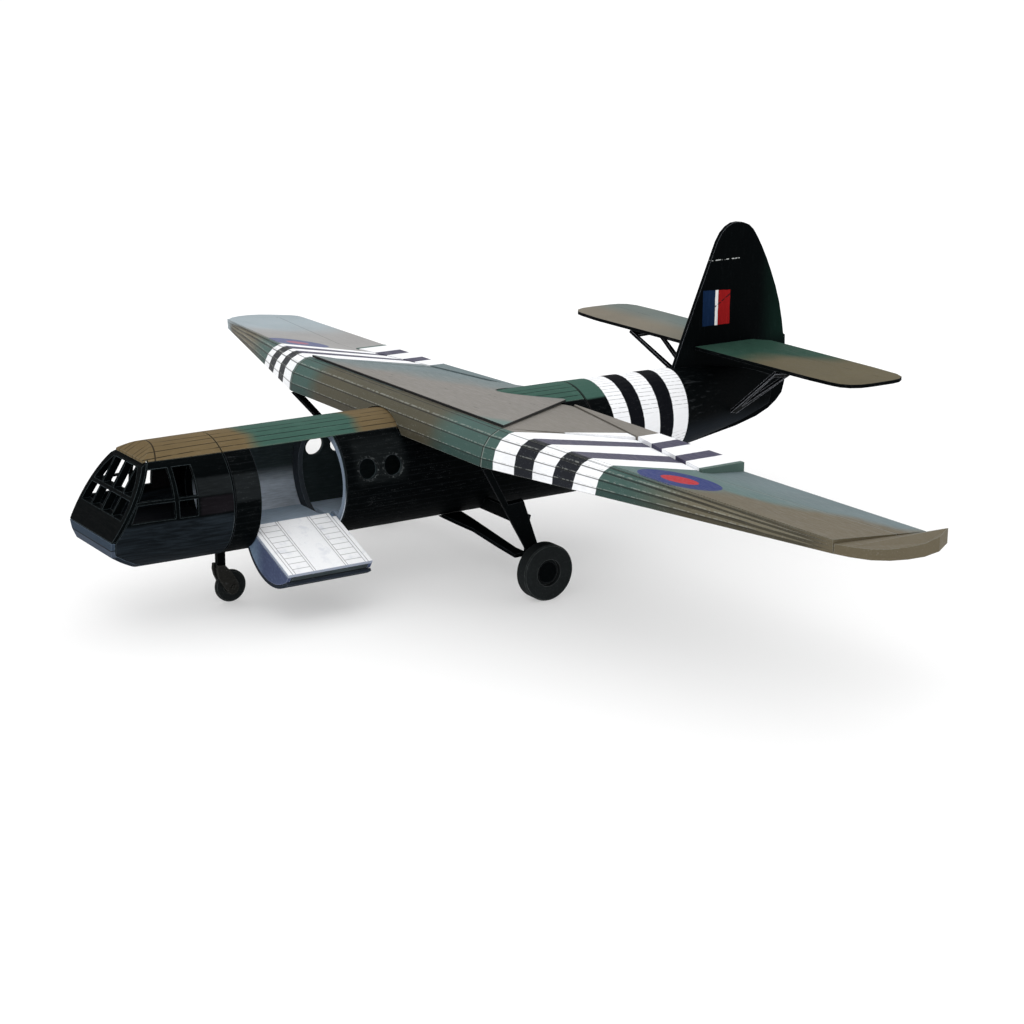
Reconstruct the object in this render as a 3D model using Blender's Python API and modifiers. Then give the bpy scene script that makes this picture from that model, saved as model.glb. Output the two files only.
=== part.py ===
# A 1:56 scale display model of a high-wing military assault glider, built from
# laser-cut board and scored card: +Z up, nose towards -Y, port side towards +X,
# origin on the ground under the middle of the model. Lengths are in millimetres,
# and the heights below count from a line GROUND_Z under the wheels.
import math

import bmesh
import bpy
from mathutils import Matrix, Vector

MM = 0.001
CLEAR = 0.3
GROUND_Z = 0.6

# Hull
AXIS_Z = 46.0
HULL_RADIUS = 23.7
CARD = 1.5
BOARD = 2.0
ROOF_EDGE_ANGLE = 53.5
INNER_RADIUS = HULL_RADIUS - CARD - CLEAR
NOSE_JOINT_Y = -119.3
HULL_END_Y = 48.1
SADDLE_FRONT_Y = -43.4
SADDLE_REAR_Y = 34.0
ROOF_TONGUE_Y = 10.0
SADDLE_Z = 62.2
DECK_TOP_Z = 30.5

# Nose, side view: the sloped window sheet, then the folded chin
NOSE_TOP = (-151.0, 65.8)
CHIN_TOP = (-168.0, 38.3)
CHIN_FOLDS = [(-167.8, 34.9), (-166.8, 31.6), (-162.0, 28.4), (-155.0, 24.3), (-150.0, 22.2)]
ROOF_FOLD = (-143.7, 69.7)
FLOOR_TOP_Z = 38.0
FLOOR_FRONT_Y = -164.2

# Nose, seen from above: its half width as a share of the hull's, tip to joint
NOSE_WIDTHS = ((-168.0, 0.88), (-152.0, 0.895), (-141.0, 0.945), (-130.0, 0.985), (-119.6, 1.0))

# Side loading door, hinged on a pin along its lower edge
DOOR_FRONT_Y = -108.1
DOOR_REAR_Y = -71.0
DOOR_SILL_X = 8.2
HINGE_X = 11.9
HINGE_Z = 31.6
DOOR_OPEN_ANGLE = 110.6
DOOR_BOARD_X = (9.7, 10.9)
DOOR_BOARD_Z = (31.2, 64.4)
DOOR_SKIN = 1.2
DOOR_EDGE_Z = (63.0, 64.4)
DOOR_LOW_ANGLE = -38.8
DOOR_HIGH_ANGLE = 52.7
PIN_RADIUS = 0.6
BORE_RADIUS = 0.9

# Wing
JOINT_X = 75.4
WING_UNDER_Z = 62.5
BOARD_REAR_Y = 38.0
RIDGE_Y = -32.4
RIDGE_Z = 75.8
NOSE_FACETS = [(-43.1, 62.5), (-42.8, 65.6), (-41.6, 70.0), (-38.9, 73.6), (-34.9, 75.6)]
FLAP_X = (18.8, 129.8)
FLAP_Z = (62.7, 64.7)
FLAP_RIB_X = 127.4
FLAP_RIB_Z = 60.7
HINGE_LINE = [(18.8, 39.0), (JOINT_X, 29.4), (129.8, 19.3)]
WRAP_END_X = 224.1
TIP_LEADING_Y = 0.4
HALF_SPAN = 239.5

# Tail
CONE_Y = 102.5
TAIL_TOP_Z = 69.6
TAILPLANE_Z = (76.3, 77.8)

# Landing gear
MAIN_WHEEL = (63.6, -5.2, 12.0)
MAIN_WHEEL_RADIUS = MAIN_WHEEL[2] - GROUND_Z
MAIN_WHEEL_WIDTH = 6.2
HUB_RECESS = 2.0
NOSE_WHEEL = (0.0, -111.0, 7.1)
NOSE_WHEEL_RADIUS = NOSE_WHEEL[2] - GROUND_Z
NOSE_WHEEL_WIDTH = 2.0
MAIN_AXLE_RADIUS = 1.2
NOSE_AXLE_RADIUS = 0.8

BLACK = (0.012, 0.014, 0.016)
BLUE_GREY = (0.12, 0.14, 0.20)
TAN = (0.24, 0.19, 0.10)
GREEN = (0.07, 0.14, 0.10)
BROWN = (0.14, 0.12, 0.09)
WHITE = (0.80, 0.80, 0.82)

for item in list(bpy.data.objects):
    bpy.data.objects.remove(item, do_unlink=True)


def new_collection(name):
    group = bpy.data.collections.new(name)
    bpy.context.scene.collection.children.link(group)
    return group


MODEL = new_collection("assault_glider_model")
CUTTERS = new_collection("cutters")


def paint(name, colour, roughness=0.6):
    material = bpy.data.materials.new(name)
    material.use_nodes = True
    shader = material.node_tree.nodes["Principled BSDF"]
    shader.inputs["Base Color"].default_value = (*colour, 1.0)
    shader.inputs["Roughness"].default_value = roughness
    shader.inputs["Metallic"].default_value = 0.0
    return material


def add_object(name, shape, colour):
    """Makes an object from a bmesh; without a colour it is a hidden cutter."""
    bmesh.ops.recalc_face_normals(shape, faces=shape.faces)
    mesh = bpy.data.meshes.new(name)
    shape.to_mesh(mesh)
    shape.free()
    item = bpy.data.objects.new(name, mesh)
    if colour is None:
        CUTTERS.objects.link(item)
        item.hide_render = True
        item.display_type = "WIRE"
    else:
        MODEL.objects.link(item)
        mesh.materials.append(paint(name + "_paint", colour))
        mesh.shade_smooth()
        mesh.set_sharp_from_angle(angle=math.radians(30))
    return item


def swept(name, corners, shift, colour=None):
    """Pushes a flat outline of 3-D points along a vector."""
    shape = bmesh.new()
    face = shape.faces.new([shape.verts.new(Vector(corner) * MM) for corner in corners])
    pushed = bmesh.ops.extrude_face_region(shape, geom=[face])["geom"]
    moved = [part for part in pushed if isinstance(part, bmesh.types.BMVert)]
    bmesh.ops.translate(shape, verts=moved, vec=Vector(shift) * MM)
    return add_object(name, shape, colour)


def prism_x(name, outline, start, end, colour=None):
    return swept(name, [(start, y, z) for y, z in outline], (end - start, 0, 0), colour)


def prism_y(name, outline, start, end, colour=None):
    return swept(name, [(x, start, z) for x, z in outline], (0, end - start, 0), colour)


def prism_z(name, outline, start, end, colour=None):
    return swept(name, [(x, y, start) for x, y in outline], (0, 0, end - start), colour)


def block(name, low, high, colour=None):
    shape = bmesh.new()
    size = Vector(high) - Vector(low)
    middle = (Vector(high) + Vector(low)) / 2
    place = Matrix.Translation(middle * MM) @ Matrix.Diagonal((*(size * MM), 1.0))
    bmesh.ops.create_cube(shape, size=1.0, matrix=place)
    return add_object(name, shape, colour)


def rod(name, radius, middle, length, axis, colour=None, sides=32):
    turn = {"X": Matrix.Rotation(math.pi / 2, 4, "Y"), "Y": Matrix.Rotation(math.pi / 2, 4, "X")}
    shape = bmesh.new()
    place = Matrix.Translation(Vector(middle) * MM) @ turn[axis]
    bmesh.ops.create_cone(shape, cap_ends=True, segments=sides, radius1=radius * MM,
                          radius2=radius * MM, depth=length * MM, matrix=place)
    return add_object(name, shape, colour)


def loft(name, sections, colour=None):
    """Joins outlines with equal numbers of points, each strip split on one diagonal."""
    shape = bmesh.new()
    loops = [[shape.verts.new(Vector(point) * MM) for point in section] for section in sections]
    for near, far in zip(loops, loops[1:]):
        for index in range(len(near)):
            after = (index + 1) % len(near)
            shape.faces.new((near[index], near[after], far[index]))
            shape.faces.new((near[after], far[after], far[index]))
    shape.faces.new(loops[0])
    shape.faces.new(loops[-1])
    return add_object(name, shape, colour)


def hull_of(name, points, colour=None):
    """The convex solid around a few corner points."""
    shape = bmesh.new()
    for point in points:
        shape.verts.new(Vector(point) * MM)
    made = bmesh.ops.convex_hull(shape, input=shape.verts)
    loose = set(made["geom_interior"]) | set(made["geom_unused"])
    corners = [part for part in loose if isinstance(part, bmesh.types.BMVert)]
    bmesh.ops.delete(shape, geom=corners, context="VERTS")
    return add_object(name, shape, colour)


def boolean(item, other, operation="DIFFERENCE"):
    modifier = item.modifiers.new(other.name, "BOOLEAN")
    modifier.operation = operation
    modifier.solver = "EXACT"
    modifier.object = other


def arc(radius, first, last, steps, middle=(0.0, AXIS_Z)):
    """Arc points; angles in degrees run from the port side up towards the roof."""
    points = []
    for index in range(steps + 1):
        angle = math.radians(first + (last - first) * index / steps)
        points.append((middle[0] + radius * math.cos(angle),
                       middle[1] + radius * math.sin(angle)))
    return points


def other_side(points):
    return [(-point[0], *point[1:]) for point in points]


# Scored card shells: a hull wrapped round from roof edge to roof edge
SHELL_ANGLES = (ROOF_EDGE_ANGLE, -180.0 - ROOF_EDGE_ANGLE)
SEAM_ANGLE = math.degrees(CLEAR / HULL_RADIUS)
ROOF_ANGLES = (ROOF_EDGE_ANGLE + SEAM_ANGLE, 180.0 - ROOF_EDGE_ANGLE - SEAM_ANGLE)
SHELL_STEPS = 48
ROOF_STEPS = 16


def card_outline(angles, steps, wall):
    outer = arc(HULL_RADIUS, angles[0], angles[1], steps)
    return outer + arc(HULL_RADIUS - wall, angles[1], angles[0], steps)


def card_tube(name, angles, steps, start, end, colour=None, wall=CARD):
    return prism_y(name, card_outline(angles, steps, wall), start, end, colour)


# Nose: sheets follow one folded profile, so their inner faces are offsets of it
NOSE_PROFILE = [NOSE_TOP, CHIN_TOP] + CHIN_FOLDS


def aft_offset(distance):
    """The nose profile moved towards the tail, square to its folds."""
    moved = []
    last = len(NOSE_PROFILE) - 1
    for index, point in enumerate(NOSE_PROFILE):
        before = NOSE_PROFILE[max(index - 1, 0)]
        after = NOSE_PROFILE[min(index + 1, last)]
        runs = [Vector(point) - Vector(before), Vector(after) - Vector(point)]
        sides = [Vector((-run.y, run.x)).normalized() for run in runs if run.length > 0]
        bisector = sum(sides, Vector((0.0, 0.0))).normalized()
        reach = distance / bisector.dot(sides[0])
        moved.append((point[0] + bisector.x * reach, point[1] + bisector.y * reach))
    return moved


def roof_fold_plane(name, drop):
    """Everything above the folded front flap of the roof, lowered by a distance."""
    rise = (ROOF_FOLD[1] - NOSE_TOP[1]) / (ROOF_FOLD[0] - NOSE_TOP[0])

    def height(y):
        return NOSE_TOP[1] + rise * (y - NOSE_TOP[0]) - drop

    outline = [(-190.0, height(-190.0)), (-130.0, height(-130.0)), (-130.0, 99.0), (-190.0, 99.0)]
    return prism_x(name, outline, -40.0, 40.0)


def nose_share(y):
    """The half width of the nose at a place along it, as a share of the hull's."""
    if y <= NOSE_WIDTHS[0][0]:
        return NOSE_WIDTHS[0][1]
    for (front, low), (rear, high) in zip(NOSE_WIDTHS, NOSE_WIDTHS[1:]):
        if y <= rear:
            return low + (high - low) * (y - front) / (rear - front)
    return 1.0


def nose_form(name, outline, start, end, colour=None):
    """Draws an outline across the hull along the nose, which narrows forward."""
    places = [start] + [y for y, share in NOSE_WIDTHS if start < y < end] + [end]
    sections = [[(x * nose_share(y), y, z) for x, z in outline] for y in places]
    return loft(name, sections, colour)


def full_round(radius, sides=72):
    return arc(radius, 0.0, 360.0, sides)[:-1]


def section_width(z, inset):
    return math.sqrt((HULL_RADIUS - inset) ** 2 - (z - AXIS_Z) ** 2)


def nose_sheets():
    inner = aft_offset(CARD)
    back = aft_offset(2 * CARD)
    window = prism_x("nose_window_sheet", [NOSE_PROFILE[0], CHIN_TOP, back[1], back[0]],
                     -40.0, 40.0, BLACK)
    chin_outline = NOSE_PROFILE[1:] + inner[:0:-1]
    chin = prism_x("nose_chin", chin_outline, -40.0, 40.0, BLUE_GREY)
    for sheet in (window, chin):
        boolean(sheet, nose_form(sheet.name + "_section", full_round(HULL_RADIUS), -190.0, -110.0),
                "INTERSECT")
    # The window sheet has two layers of card; the rear one fits inside the shell
    low, high = Vector(inner[1]), Vector(inner[0])
    slope = (high - low).normalized()
    aft = Vector((slope.y, -slope.x))
    ends = (low - slope * 5, high + slope * 5)
    step = prism_x("rear_layer_step", [tuple(ends[0]), tuple(ends[1]), tuple(ends[1] + aft * 6),
                                       tuple(ends[0] + aft * 6)], -40.0, 40.0)
    boolean(step, nose_form("rear_layer_section", full_round(INNER_RADIUS), -190.0, -110.0))
    boolean(window, step)
    boolean(window, block("chin_seam", (-40, -180, CHIN_TOP[1] - 6),
                          (40, -120, CHIN_TOP[1] + CLEAR / 2)))
    boolean(chin, block("window_seam", (-40, -180, CHIN_TOP[1] - CLEAR / 2), (40, -120, 60)))
    boolean(window, roof_fold_plane("sheet_top_trim", 1.4))
    # Two rows of four open panes
    rows = ((45.9, 52.6), (53.9, 63.2))
    for row, (low, high) in enumerate(rows):
        for side in (-1, 1):
            middle_pane = [(side * 0.7, low), (side * 9.1, low), (side * 9.1, high),
                           (side * 0.7, high)]
            outer_pane = [(side * 10.0, low)]
            for step in range(7):
                z = low + (high - low) * step / 6
                share = NOSE_WIDTHS[1][1] - 0.01
                outer_pane.append((side * section_width(z, 2.8) * share, z))
            outer_pane.append((side * 10.0, high))
            for column, outline in enumerate((middle_pane, outer_pane)):
                name = "front_pane_%d_%d_%s" % (row, column, "port" if side > 0 else "starboard")
                boolean(window, prism_y(name, outline, -185.0, -140.0))


def nose_space(name):
    """Everything ahead of the inner faces of the nose sheets."""
    inner = aft_offset(CARD + CLEAR)
    slope = (Vector(inner[0]) - Vector(inner[1])).normalized()
    top = Vector(inner[0]) + slope * 20.0
    outline = [tuple(top)] + inner + [(inner[-1][0], 5.0), (-200.0, 5.0), (-200.0, top.y)]
    return prism_x(name, outline, -40.0, 40.0)


def nose_body():
    rear = NOSE_JOINT_Y - CLEAR
    wrap = card_outline(SHELL_ANGLES, SHELL_STEPS, CARD)
    shell = nose_form("nose_shell", wrap, -175.0, rear, BLACK)
    boolean(shell, nose_space("nose_front_space"))
    boolean(shell, roof_fold_plane("shell_top_trim", 1.4))
    port_panes = (
        [(-158.5, 52.2), (-142.9, 52.2), (-142.9, 62.8), (-152.5, 62.8)],
        [(-141.3, 52.2), (-133.7, 52.2), (-133.7, 62.8), (-141.3, 62.8)],
        [(-160.2, 44.6), (-142.9, 44.6), (-142.9, 51.1), (-157.3, 51.1)],
        [(-141.3, 44.6), (-134.1, 44.6), (-133.9, 51.1), (-141.3, 51.1)],
    )
    starboard_panes = (
        [(-155.6, 53.2), (-142.9, 53.2), (-142.9, 61.0), (-151.0, 61.0)],
        [(-141.3, 53.2), (-133.0, 53.2), (-133.0, 61.0), (-141.3, 61.0)],
        [(-159.4, 46.6), (-142.4, 46.6), (-142.4, 52.3), (-156.2, 52.3)],
        [(-141.3, 46.6), (-132.9, 46.6), (-132.9, 52.3), (-141.3, 52.3)],
    )
    for panes, low, high in ((port_panes, 0.0, 40.0), (starboard_panes, -40.0, 0.0)):
        for outline in panes:
            boolean(shell, prism_x("side_pane", outline, low, high))
    roof = nose_form("nose_roof", card_outline(ROOF_ANGLES, ROOF_STEPS, 8.0), NOSE_TOP[0], rear,
                     TAN)
    boolean(roof, roof_fold_plane("roof_fold_outer", 0.0))
    under = nose_form("nose_roof_under", arc(HULL_RADIUS - CARD, 20.0, 160.0, 40), -160.0, -110.0)
    over_sheet = block("nose_roof_over_sheet", (-40, -160, 50), (40, -148.9, 80))
    for cutter in (under, over_sheet):
        boolean(cutter, roof_fold_plane(cutter.name + "_top", 1.1))
        boolean(roof, cutter)


def nose_block():
    """The cockpit floor, laid up from layers of board into one block."""
    inner = aft_offset(CARD + CLEAR)[1:]
    rear = NOSE_JOINT_Y - 1.5 - CLEAR
    outline = inner + [(rear, 15.0), (rear, FLOOR_TOP_Z)]
    floor = prism_x("cockpit_floor", outline, -40.0, 40.0, BLUE_GREY)
    boolean(floor, nose_form("floor_section", full_round(INNER_RADIUS), -190.0, -110.0),
            "INTERSECT")
    top = [(-190.0, FLOOR_TOP_Z - 3.0), (FLOOR_FRONT_Y - 3.0, FLOOR_TOP_Z - 3.0),
           (FLOOR_FRONT_Y, FLOOR_TOP_Z), (-110.0, FLOOR_TOP_Z), (-110.0, 60.0), (-190.0, 60.0)]
    boolean(floor, prism_x("floor_top", top, -40.0, 40.0))


# Hull between the nose joint and the tail joint
def hull():
    front = NOSE_JOINT_Y + CLEAR
    rear = HULL_END_Y - CLEAR
    shell = card_tube("hull_shell", SHELL_ANGLES, SHELL_STEPS, front, rear, BLACK)
    boolean(shell, block("door_opening", (DOOR_SILL_X, DOOR_FRONT_Y, 10), (40, DOOR_REAR_Y, 80)))
    boolean(shell, block("wing_saddle", (-40, SADDLE_FRONT_Y, SADDLE_Z), (40, SADDLE_REAR_Y, 80)))
    for name, y in (("porthole_front", -61.1), ("porthole_rear", -49.8)):
        boolean(shell, rod(name, 4.0, (0, y, 52.2), 80.0, "X"))
    front_roof = card_tube("hull_roof_front", ROOF_ANGLES, ROOF_STEPS, front, -39.4, GREEN)
    boolean(front_roof, block("door_swing", (DOOR_SILL_X, DOOR_FRONT_Y, 10),
                              (40, DOOR_REAR_Y, 64.9)))
    card_tube("hull_roof_rear", ROOF_ANGLES, ROOF_STEPS, ROOF_TONGUE_Y, rear, GREEN)


def former(name, y, thickness, hole_radius, hole_x, colour):
    ring = rod(name, INNER_RADIUS, (0, y, AXIS_Z), thickness, "Y", colour, sides=72)
    boolean(ring, rod(name + "_hole", hole_radius, (hole_x, y, AXIS_Z), 4 * thickness, "Y",
                      sides=64))
    return ring


def hull_inside():
    former("nose_former", NOSE_JOINT_Y, 3.0, 17.0, 0.0, BLACK)
    former("tail_former", HULL_END_Y, 3.0, 17.0, 0.0, BLACK)
    ring_y = DOOR_REAR_Y + BOARD / 2
    ring = former("door_bulkhead", ring_y, BOARD, 18.6, 1.5, BLUE_GREY)
    boolean(ring, rod("bulkhead_ear", 2.6, (HINGE_X, ring_y, HINGE_Z), BOARD, "Y"), "UNION")
    boolean(ring, rod("bulkhead_bore", BORE_RADIUS, (HINGE_X, ring_y, HINGE_Z), 9.0, "Y"))
    deck_z = (DECK_TOP_Z - CARD, DECK_TOP_Z)
    decks = (
        ("hold_deck_front", NOSE_JOINT_Y + 1.5 + CLEAR, DOOR_REAR_Y - CLEAR),
        ("hold_deck_rear", DOOR_REAR_Y + BOARD + CLEAR, -10.0),
    )
    for name, start, end in decks:
        deck = block(name, (-20, start, deck_z[0]), (20, end, deck_z[1]), BLUE_GREY)
        boolean(deck, rod(name + "_section", INNER_RADIUS, (0, -70, AXIS_Z), 160, "Y", sides=96),
                "INTERSECT")
        if name == "hold_deck_front":
            boolean(deck, block("deck_edge", (10.0, DOOR_FRONT_Y - CLEAR, 20), (40, -60, 40)))
    sill = block("door_sill", (6.3, DOOR_FRONT_Y, 20), (7.8, DOOR_REAR_Y - CLEAR,
                 deck_z[0] - CLEAR), BLUE_GREY)
    boolean(sill, rod("sill_section", INNER_RADIUS, (0, -90, AXIS_Z), 80, "Y", sides=96),
            "INTERSECT")
    lug_outline = [(8.6, DECK_TOP_Z + CLEAR), (HINGE_X + 1.9, DECK_TOP_Z + CLEAR)]
    lug_outline += arc(2.1, 0.0, 150.0, 8, (HINGE_X - 0.2, HINGE_Z + 0.4))
    lug = prism_y("door_hinge_lug", lug_outline, DOOR_FRONT_Y - 1.8, DOOR_FRONT_Y - 0.4,
                  BLUE_GREY)
    boolean(lug, rod("lug_bore", BORE_RADIUS, (HINGE_X, DOOR_FRONT_Y, HINGE_Z), 9.0, "Y"))
    pin_length = DOOR_REAR_Y - DOOR_FRONT_Y + 3.8
    rod("door_hinge_pin", PIN_RADIUS, (HINGE_X, (DOOR_REAR_Y + DOOR_FRONT_Y) / 2, HINGE_Z),
        pin_length, "Y", BLACK, sides=16)


# Door: built shut, then swung down about its pin to lie open as a ramp
def door():
    start = DOOR_FRONT_Y + 0.4
    end = DOOR_REAR_Y - 0.4
    board = block("door_board", (DOOR_BOARD_X[0], start, DOOR_BOARD_Z[0]),
                  (DOOR_BOARD_X[1], end, DOOR_BOARD_Z[1]), WHITE)
    for name, low, high in (("board_notch_front", start - 1, start + 1.9),
                            ("board_notch_rear", end - 1.9, end + 1)):
        boolean(board, block(name, (8, low, 28), (14, high, HINGE_Z + 2.2)))
    cap_inner_x = DOOR_BOARD_X[1] + CLEAR
    cap_radius = HULL_RADIUS - DOOR_SKIN - CLEAR
    outline = arc(1.6, 285.0, 120.0, 8, (HINGE_X, HINGE_Z))
    outline += [(cap_inner_x, HINGE_Z + 2.6), (cap_inner_x, DOOR_BOARD_Z[1] - 0.2)]
    outline += arc(cap_radius, DOOR_HIGH_ANGLE, DOOR_LOW_ANGLE + 1.0, 18)
    pieces = [board]
    for name, y in (("door_cap_front", start), ("door_cap_rear", end - CARD)):
        cap = prism_y(name, outline, y, y + CARD, BLUE_GREY)
        boolean(cap, rod(name + "_bore", BORE_RADIUS, (HINGE_X, y, HINGE_Z), 6.0, "Y"))
        pieces.append(cap)
    pieces.append(card_tube("door_skin", (DOOR_LOW_ANGLE, DOOR_HIGH_ANGLE), 18, start, end,
                            BLACK, wall=DOOR_SKIN))
    low, high = DOOR_EDGE_Z
    strip = [(cap_inner_x, low), (cap_inner_x, high)]
    for z in (high, low):
        strip.append((math.sqrt(cap_radius ** 2 - (z - AXIS_Z) ** 2), z))
    pieces.append(prism_y("door_edge_strip", strip, start + CARD + CLEAR, end - CARD - CLEAR,
                          BLUE_GREY))
    hinge = bpy.data.objects.new("door_hinge_axis", None)
    MODEL.objects.link(hinge)
    pivot = Vector((HINGE_X, 0.0, HINGE_Z)) * MM
    cutters = []
    for piece in pieces:
        for modifier in piece.modifiers:
            cutters.append(modifier.object)
    for piece in pieces + cutters:
        piece.data.transform(Matrix.Translation(-pivot))
        piece.parent = hinge
    hinge.location = pivot
    hinge.rotation_euler = (0.0, math.radians(DOOR_OPEN_ANGLE), 0.0)


# Rear hull and tail
def rear_section(y, half_width, bottom, top, steps=48):
    middle = (top + bottom) / 2
    half_height = (top - bottom) / 2
    section = []
    for index in range(steps):
        angle = 2 * math.pi * index / steps
        section.append((half_width * math.cos(angle), y, middle + half_height * math.sin(angle)))
    return section


TAPER = ((HULL_END_Y + CLEAR, 23.6, 22.4, 69.6), (CONE_Y - CLEAR, 15.4, 32.8, TAIL_TOP_Z))
CONE = (
    (CONE_Y, 15.4, 32.8, TAIL_TOP_Z),
    (114.7, 12.4, 35.4, 69.3),
    (124.0, 9.9, 37.2, 68.7),
    (133.3, 7.4, 38.9, 67.6),
    (143.0, 5.1, 41.0, 66.0),
    (152.0, 3.4, 43.8, 63.8),
    (158.9, 2.6, 46.2, 61.6),
)


def tapered_shell(name, stations, wall, colour):
    outer = loft(name, [rear_section(*station) for station in stations], colour)
    inner = []
    for index, (y, half_width, bottom, top) in enumerate(stations):
        if index == 0:
            y -= 1.0
        if index == len(stations) - 1:
            y += 1.0
        inner.append(rear_section(y, half_width - wall, bottom + wall, top - wall))
    boolean(outer, loft(name + "_inside", inner))
    return outer


def rear_hull():
    tapered_shell("rear_hull", TAPER, 1.2, WHITE)
    half = BOARD / 2 + CLEAR
    for name, sign in (("port", 1), ("starboard", -1)):
        cone = tapered_shell("tail_cone_" + name, CONE, 1.0, BLACK)
        low, high = sorted((sign * half, -sign * 60))
        boolean(cone, block("cone_split_" + name, (low, 90, 10), (high, 180, 90)))


FIN = [
    (104.7, 69.1), (109.0, 80.0), (118.3, 102.4), (123.9, 115.8), (126.8, 122.7),
    (129.2, 126.6), (132.0, 129.1), (135.0, 130.5), (138.1, 130.8), (141.2, 130.4),
    (144.3, 129.2), (146.9, 127.0), (149.6, 123.2), (152.3, 118.6), (155.1, 113.3),
    (157.9, 107.2), (160.7, 100.4), (163.1, 93.3), (165.1, 84.8), (166.2, 78.4),
    (167.2, 77.8), (168.0, 56.4), (166.6, 51.4), (163.4, 48.0), (158.9, 44.9),
    (152.0, 42.0), (140.6, 39.1), (114.7, 34.7), (103.6, 33.0),
]


def tail():
    half = BOARD / 2
    prism_x("fin", FIN, -half, half, BLACK)
    plane = [
        (74.0, 117.9), (87.0, 118.9), (91.5, 119.8), (95.0, 122.4),
        (97.0, 126.4), (97.6, 132.0), (97.6, 143.0), (96.9, 147.2), (94.5, 150.8),
        (89.5, 152.8), (75.0, 153.5), (20.0, 153.6), (8.0, 153.2), (2.6, 148.7),
    ]
    foot = Vector((7.9, 133.3, 48.6))
    strut_top_z = TAILPLANE_Z[0] - CLEAR
    sides = (("port", 1, 116.0, 1.0, (52.2, 118.6), (55.5, 124.8)),
             ("starboard", -1, 119.3, 1.024, (51.4, 119.5), (53.3, 135.9)))
    for name, sign, root_front, stretch, front_place, rear_place in sides:
        outline = [(sign * (half + CLEAR), root_front)]
        outline += [(sign * x * stretch, y) for x, y in plane]
        outline += [(sign * (half + CLEAR), 148.0)]
        prism_z("tailplane_" + name, outline, TAILPLANE_Z[0], TAILPLANE_Z[1], BROWN)
        front = Vector((*front_place, strut_top_z))
        rear = Vector((*rear_place, strut_top_z))
        normal = (front - foot).cross(rear - foot).normalized()
        middle = (foot + front + rear) / 3
        spine = ((front + rear) / 2 - foot).normalized()
        across = spine.cross(normal)
        corners = [foot - across * 1.4, foot + across * 1.4, rear, front]
        if (corners[1] - corners[0]).dot(rear - front) < 0:
            corners[0], corners[1] = corners[1], corners[0]
        hole = [foot + spine * 9.0, middle.lerp(rear, 0.78), middle.lerp(front, 0.78)]
        frame_outer = [(sign * c.x, c.y, c.z) for c in corners]
        hole_outer = [(sign * c.x, c.y, c.z) for c in hole]
        shift = Vector((sign * normal.x, normal.y, normal.z))
        frame = swept("tail_strut_" + name, frame_outer, -shift * CARD, BLACK)
        lifted = [tuple(Vector(c) + shift * 3) for c in hole_outer]
        boolean(frame, swept("strut_hole_" + name, lifted, -shift * 8))
        boolean(frame, block("strut_top_trim_" + name, (-60, 100, strut_top_z), (60, 150, 90)))


# Wing: a centre box, two outer panels, flaps, tips and a raised centre board
def wing_centre():
    reach = JOINT_X - CLEAR / 2
    corners = [(reach, y, z) for y, z in NOSE_FACETS]
    corners += [(reach, RIDGE_Y, RIDGE_Z), (reach, 29.3, 64.2), (20.4, 38.4, 64.2),
                (17.9, 34.6, 65.3), (reach, 29.3, WING_UNDER_Z), (20.4, 38.4, WING_UNDER_Z)]
    panel = hull_of("wing_centre_panel", corners + other_side(corners), GREEN)
    boolean(panel, block("roof_notch", (-18.4, 33.7, 50), (18.4, 60, 90)))
    boolean(panel, rod("roof_arch", HULL_RADIUS + 0.5, (0, -45.0, AXIS_Z), 12.0, "Y", sides=72))
    # The hull's rear roof reaches forward into a notch in the panel and the board
    tongue_space = (ROOF_TONGUE_Y - CLEAR, 60.0)

    def roof_space():
        middle = sum(tongue_space) / 2
        return rod("roof_space", HULL_RADIUS + CLEAR, (0, middle, AXIS_Z),
                   tongue_space[1] - tongue_space[0], "Y", sides=72)

    boolean(panel, roof_space())
    fall = (RIDGE_Z - 65.1) / (BOARD_REAR_Y - RIDGE_Y)
    board = []
    for lift in (CLEAR, 1.2):
        for x, y in ((reach, RIDGE_Y), (14.6, BOARD_REAR_Y)):
            top = RIDGE_Z - fall * (y - RIDGE_Y) + lift
            board += [(x, y, top), (-x, y, top)]
    boolean(hull_of("wing_centre_board", board, GREEN), roof_space())


def wing_outer(name, sign, trailing):
    """A panel of card; its trailing edge is given at the root and at the tip."""
    root_x = JOINT_X + CLEAR / 2
    (root_y, root_z), (tip_y, tip_z) = trailing
    root = NOSE_FACETS + [(RIDGE_Y, RIDGE_Z), (root_y, root_z), (root_y, root_z - 1.6),
                          (-42.6, 62.2)]
    tip = [(0.5, 59.8), (0.3, 60.9), (0.2, 62.2), (0.1, 63.4), (0.1, 64.3), (0.1, 64.8),
           (tip_y, tip_z), (tip_y, tip_z - 1.6), (1.0, 59.7)]
    sections = [[(sign * x, y, z) for y, z in points]
                for x, points in ((root_x, root), (WRAP_END_X, tip))]
    panel = loft("wing_outer_" + name, sections, BROWN)
    front = [(70.0, HINGE_LINE[1][1] + 1.0), *HINGE_LINE[2:]]
    space = [(sign * x, y) for x, y in front + [(FLAP_X[1], 50.0), (70.0, 50.0)]]
    boolean(panel, prism_z("flap_space_" + name, space, 50.0, 70.0))


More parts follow.
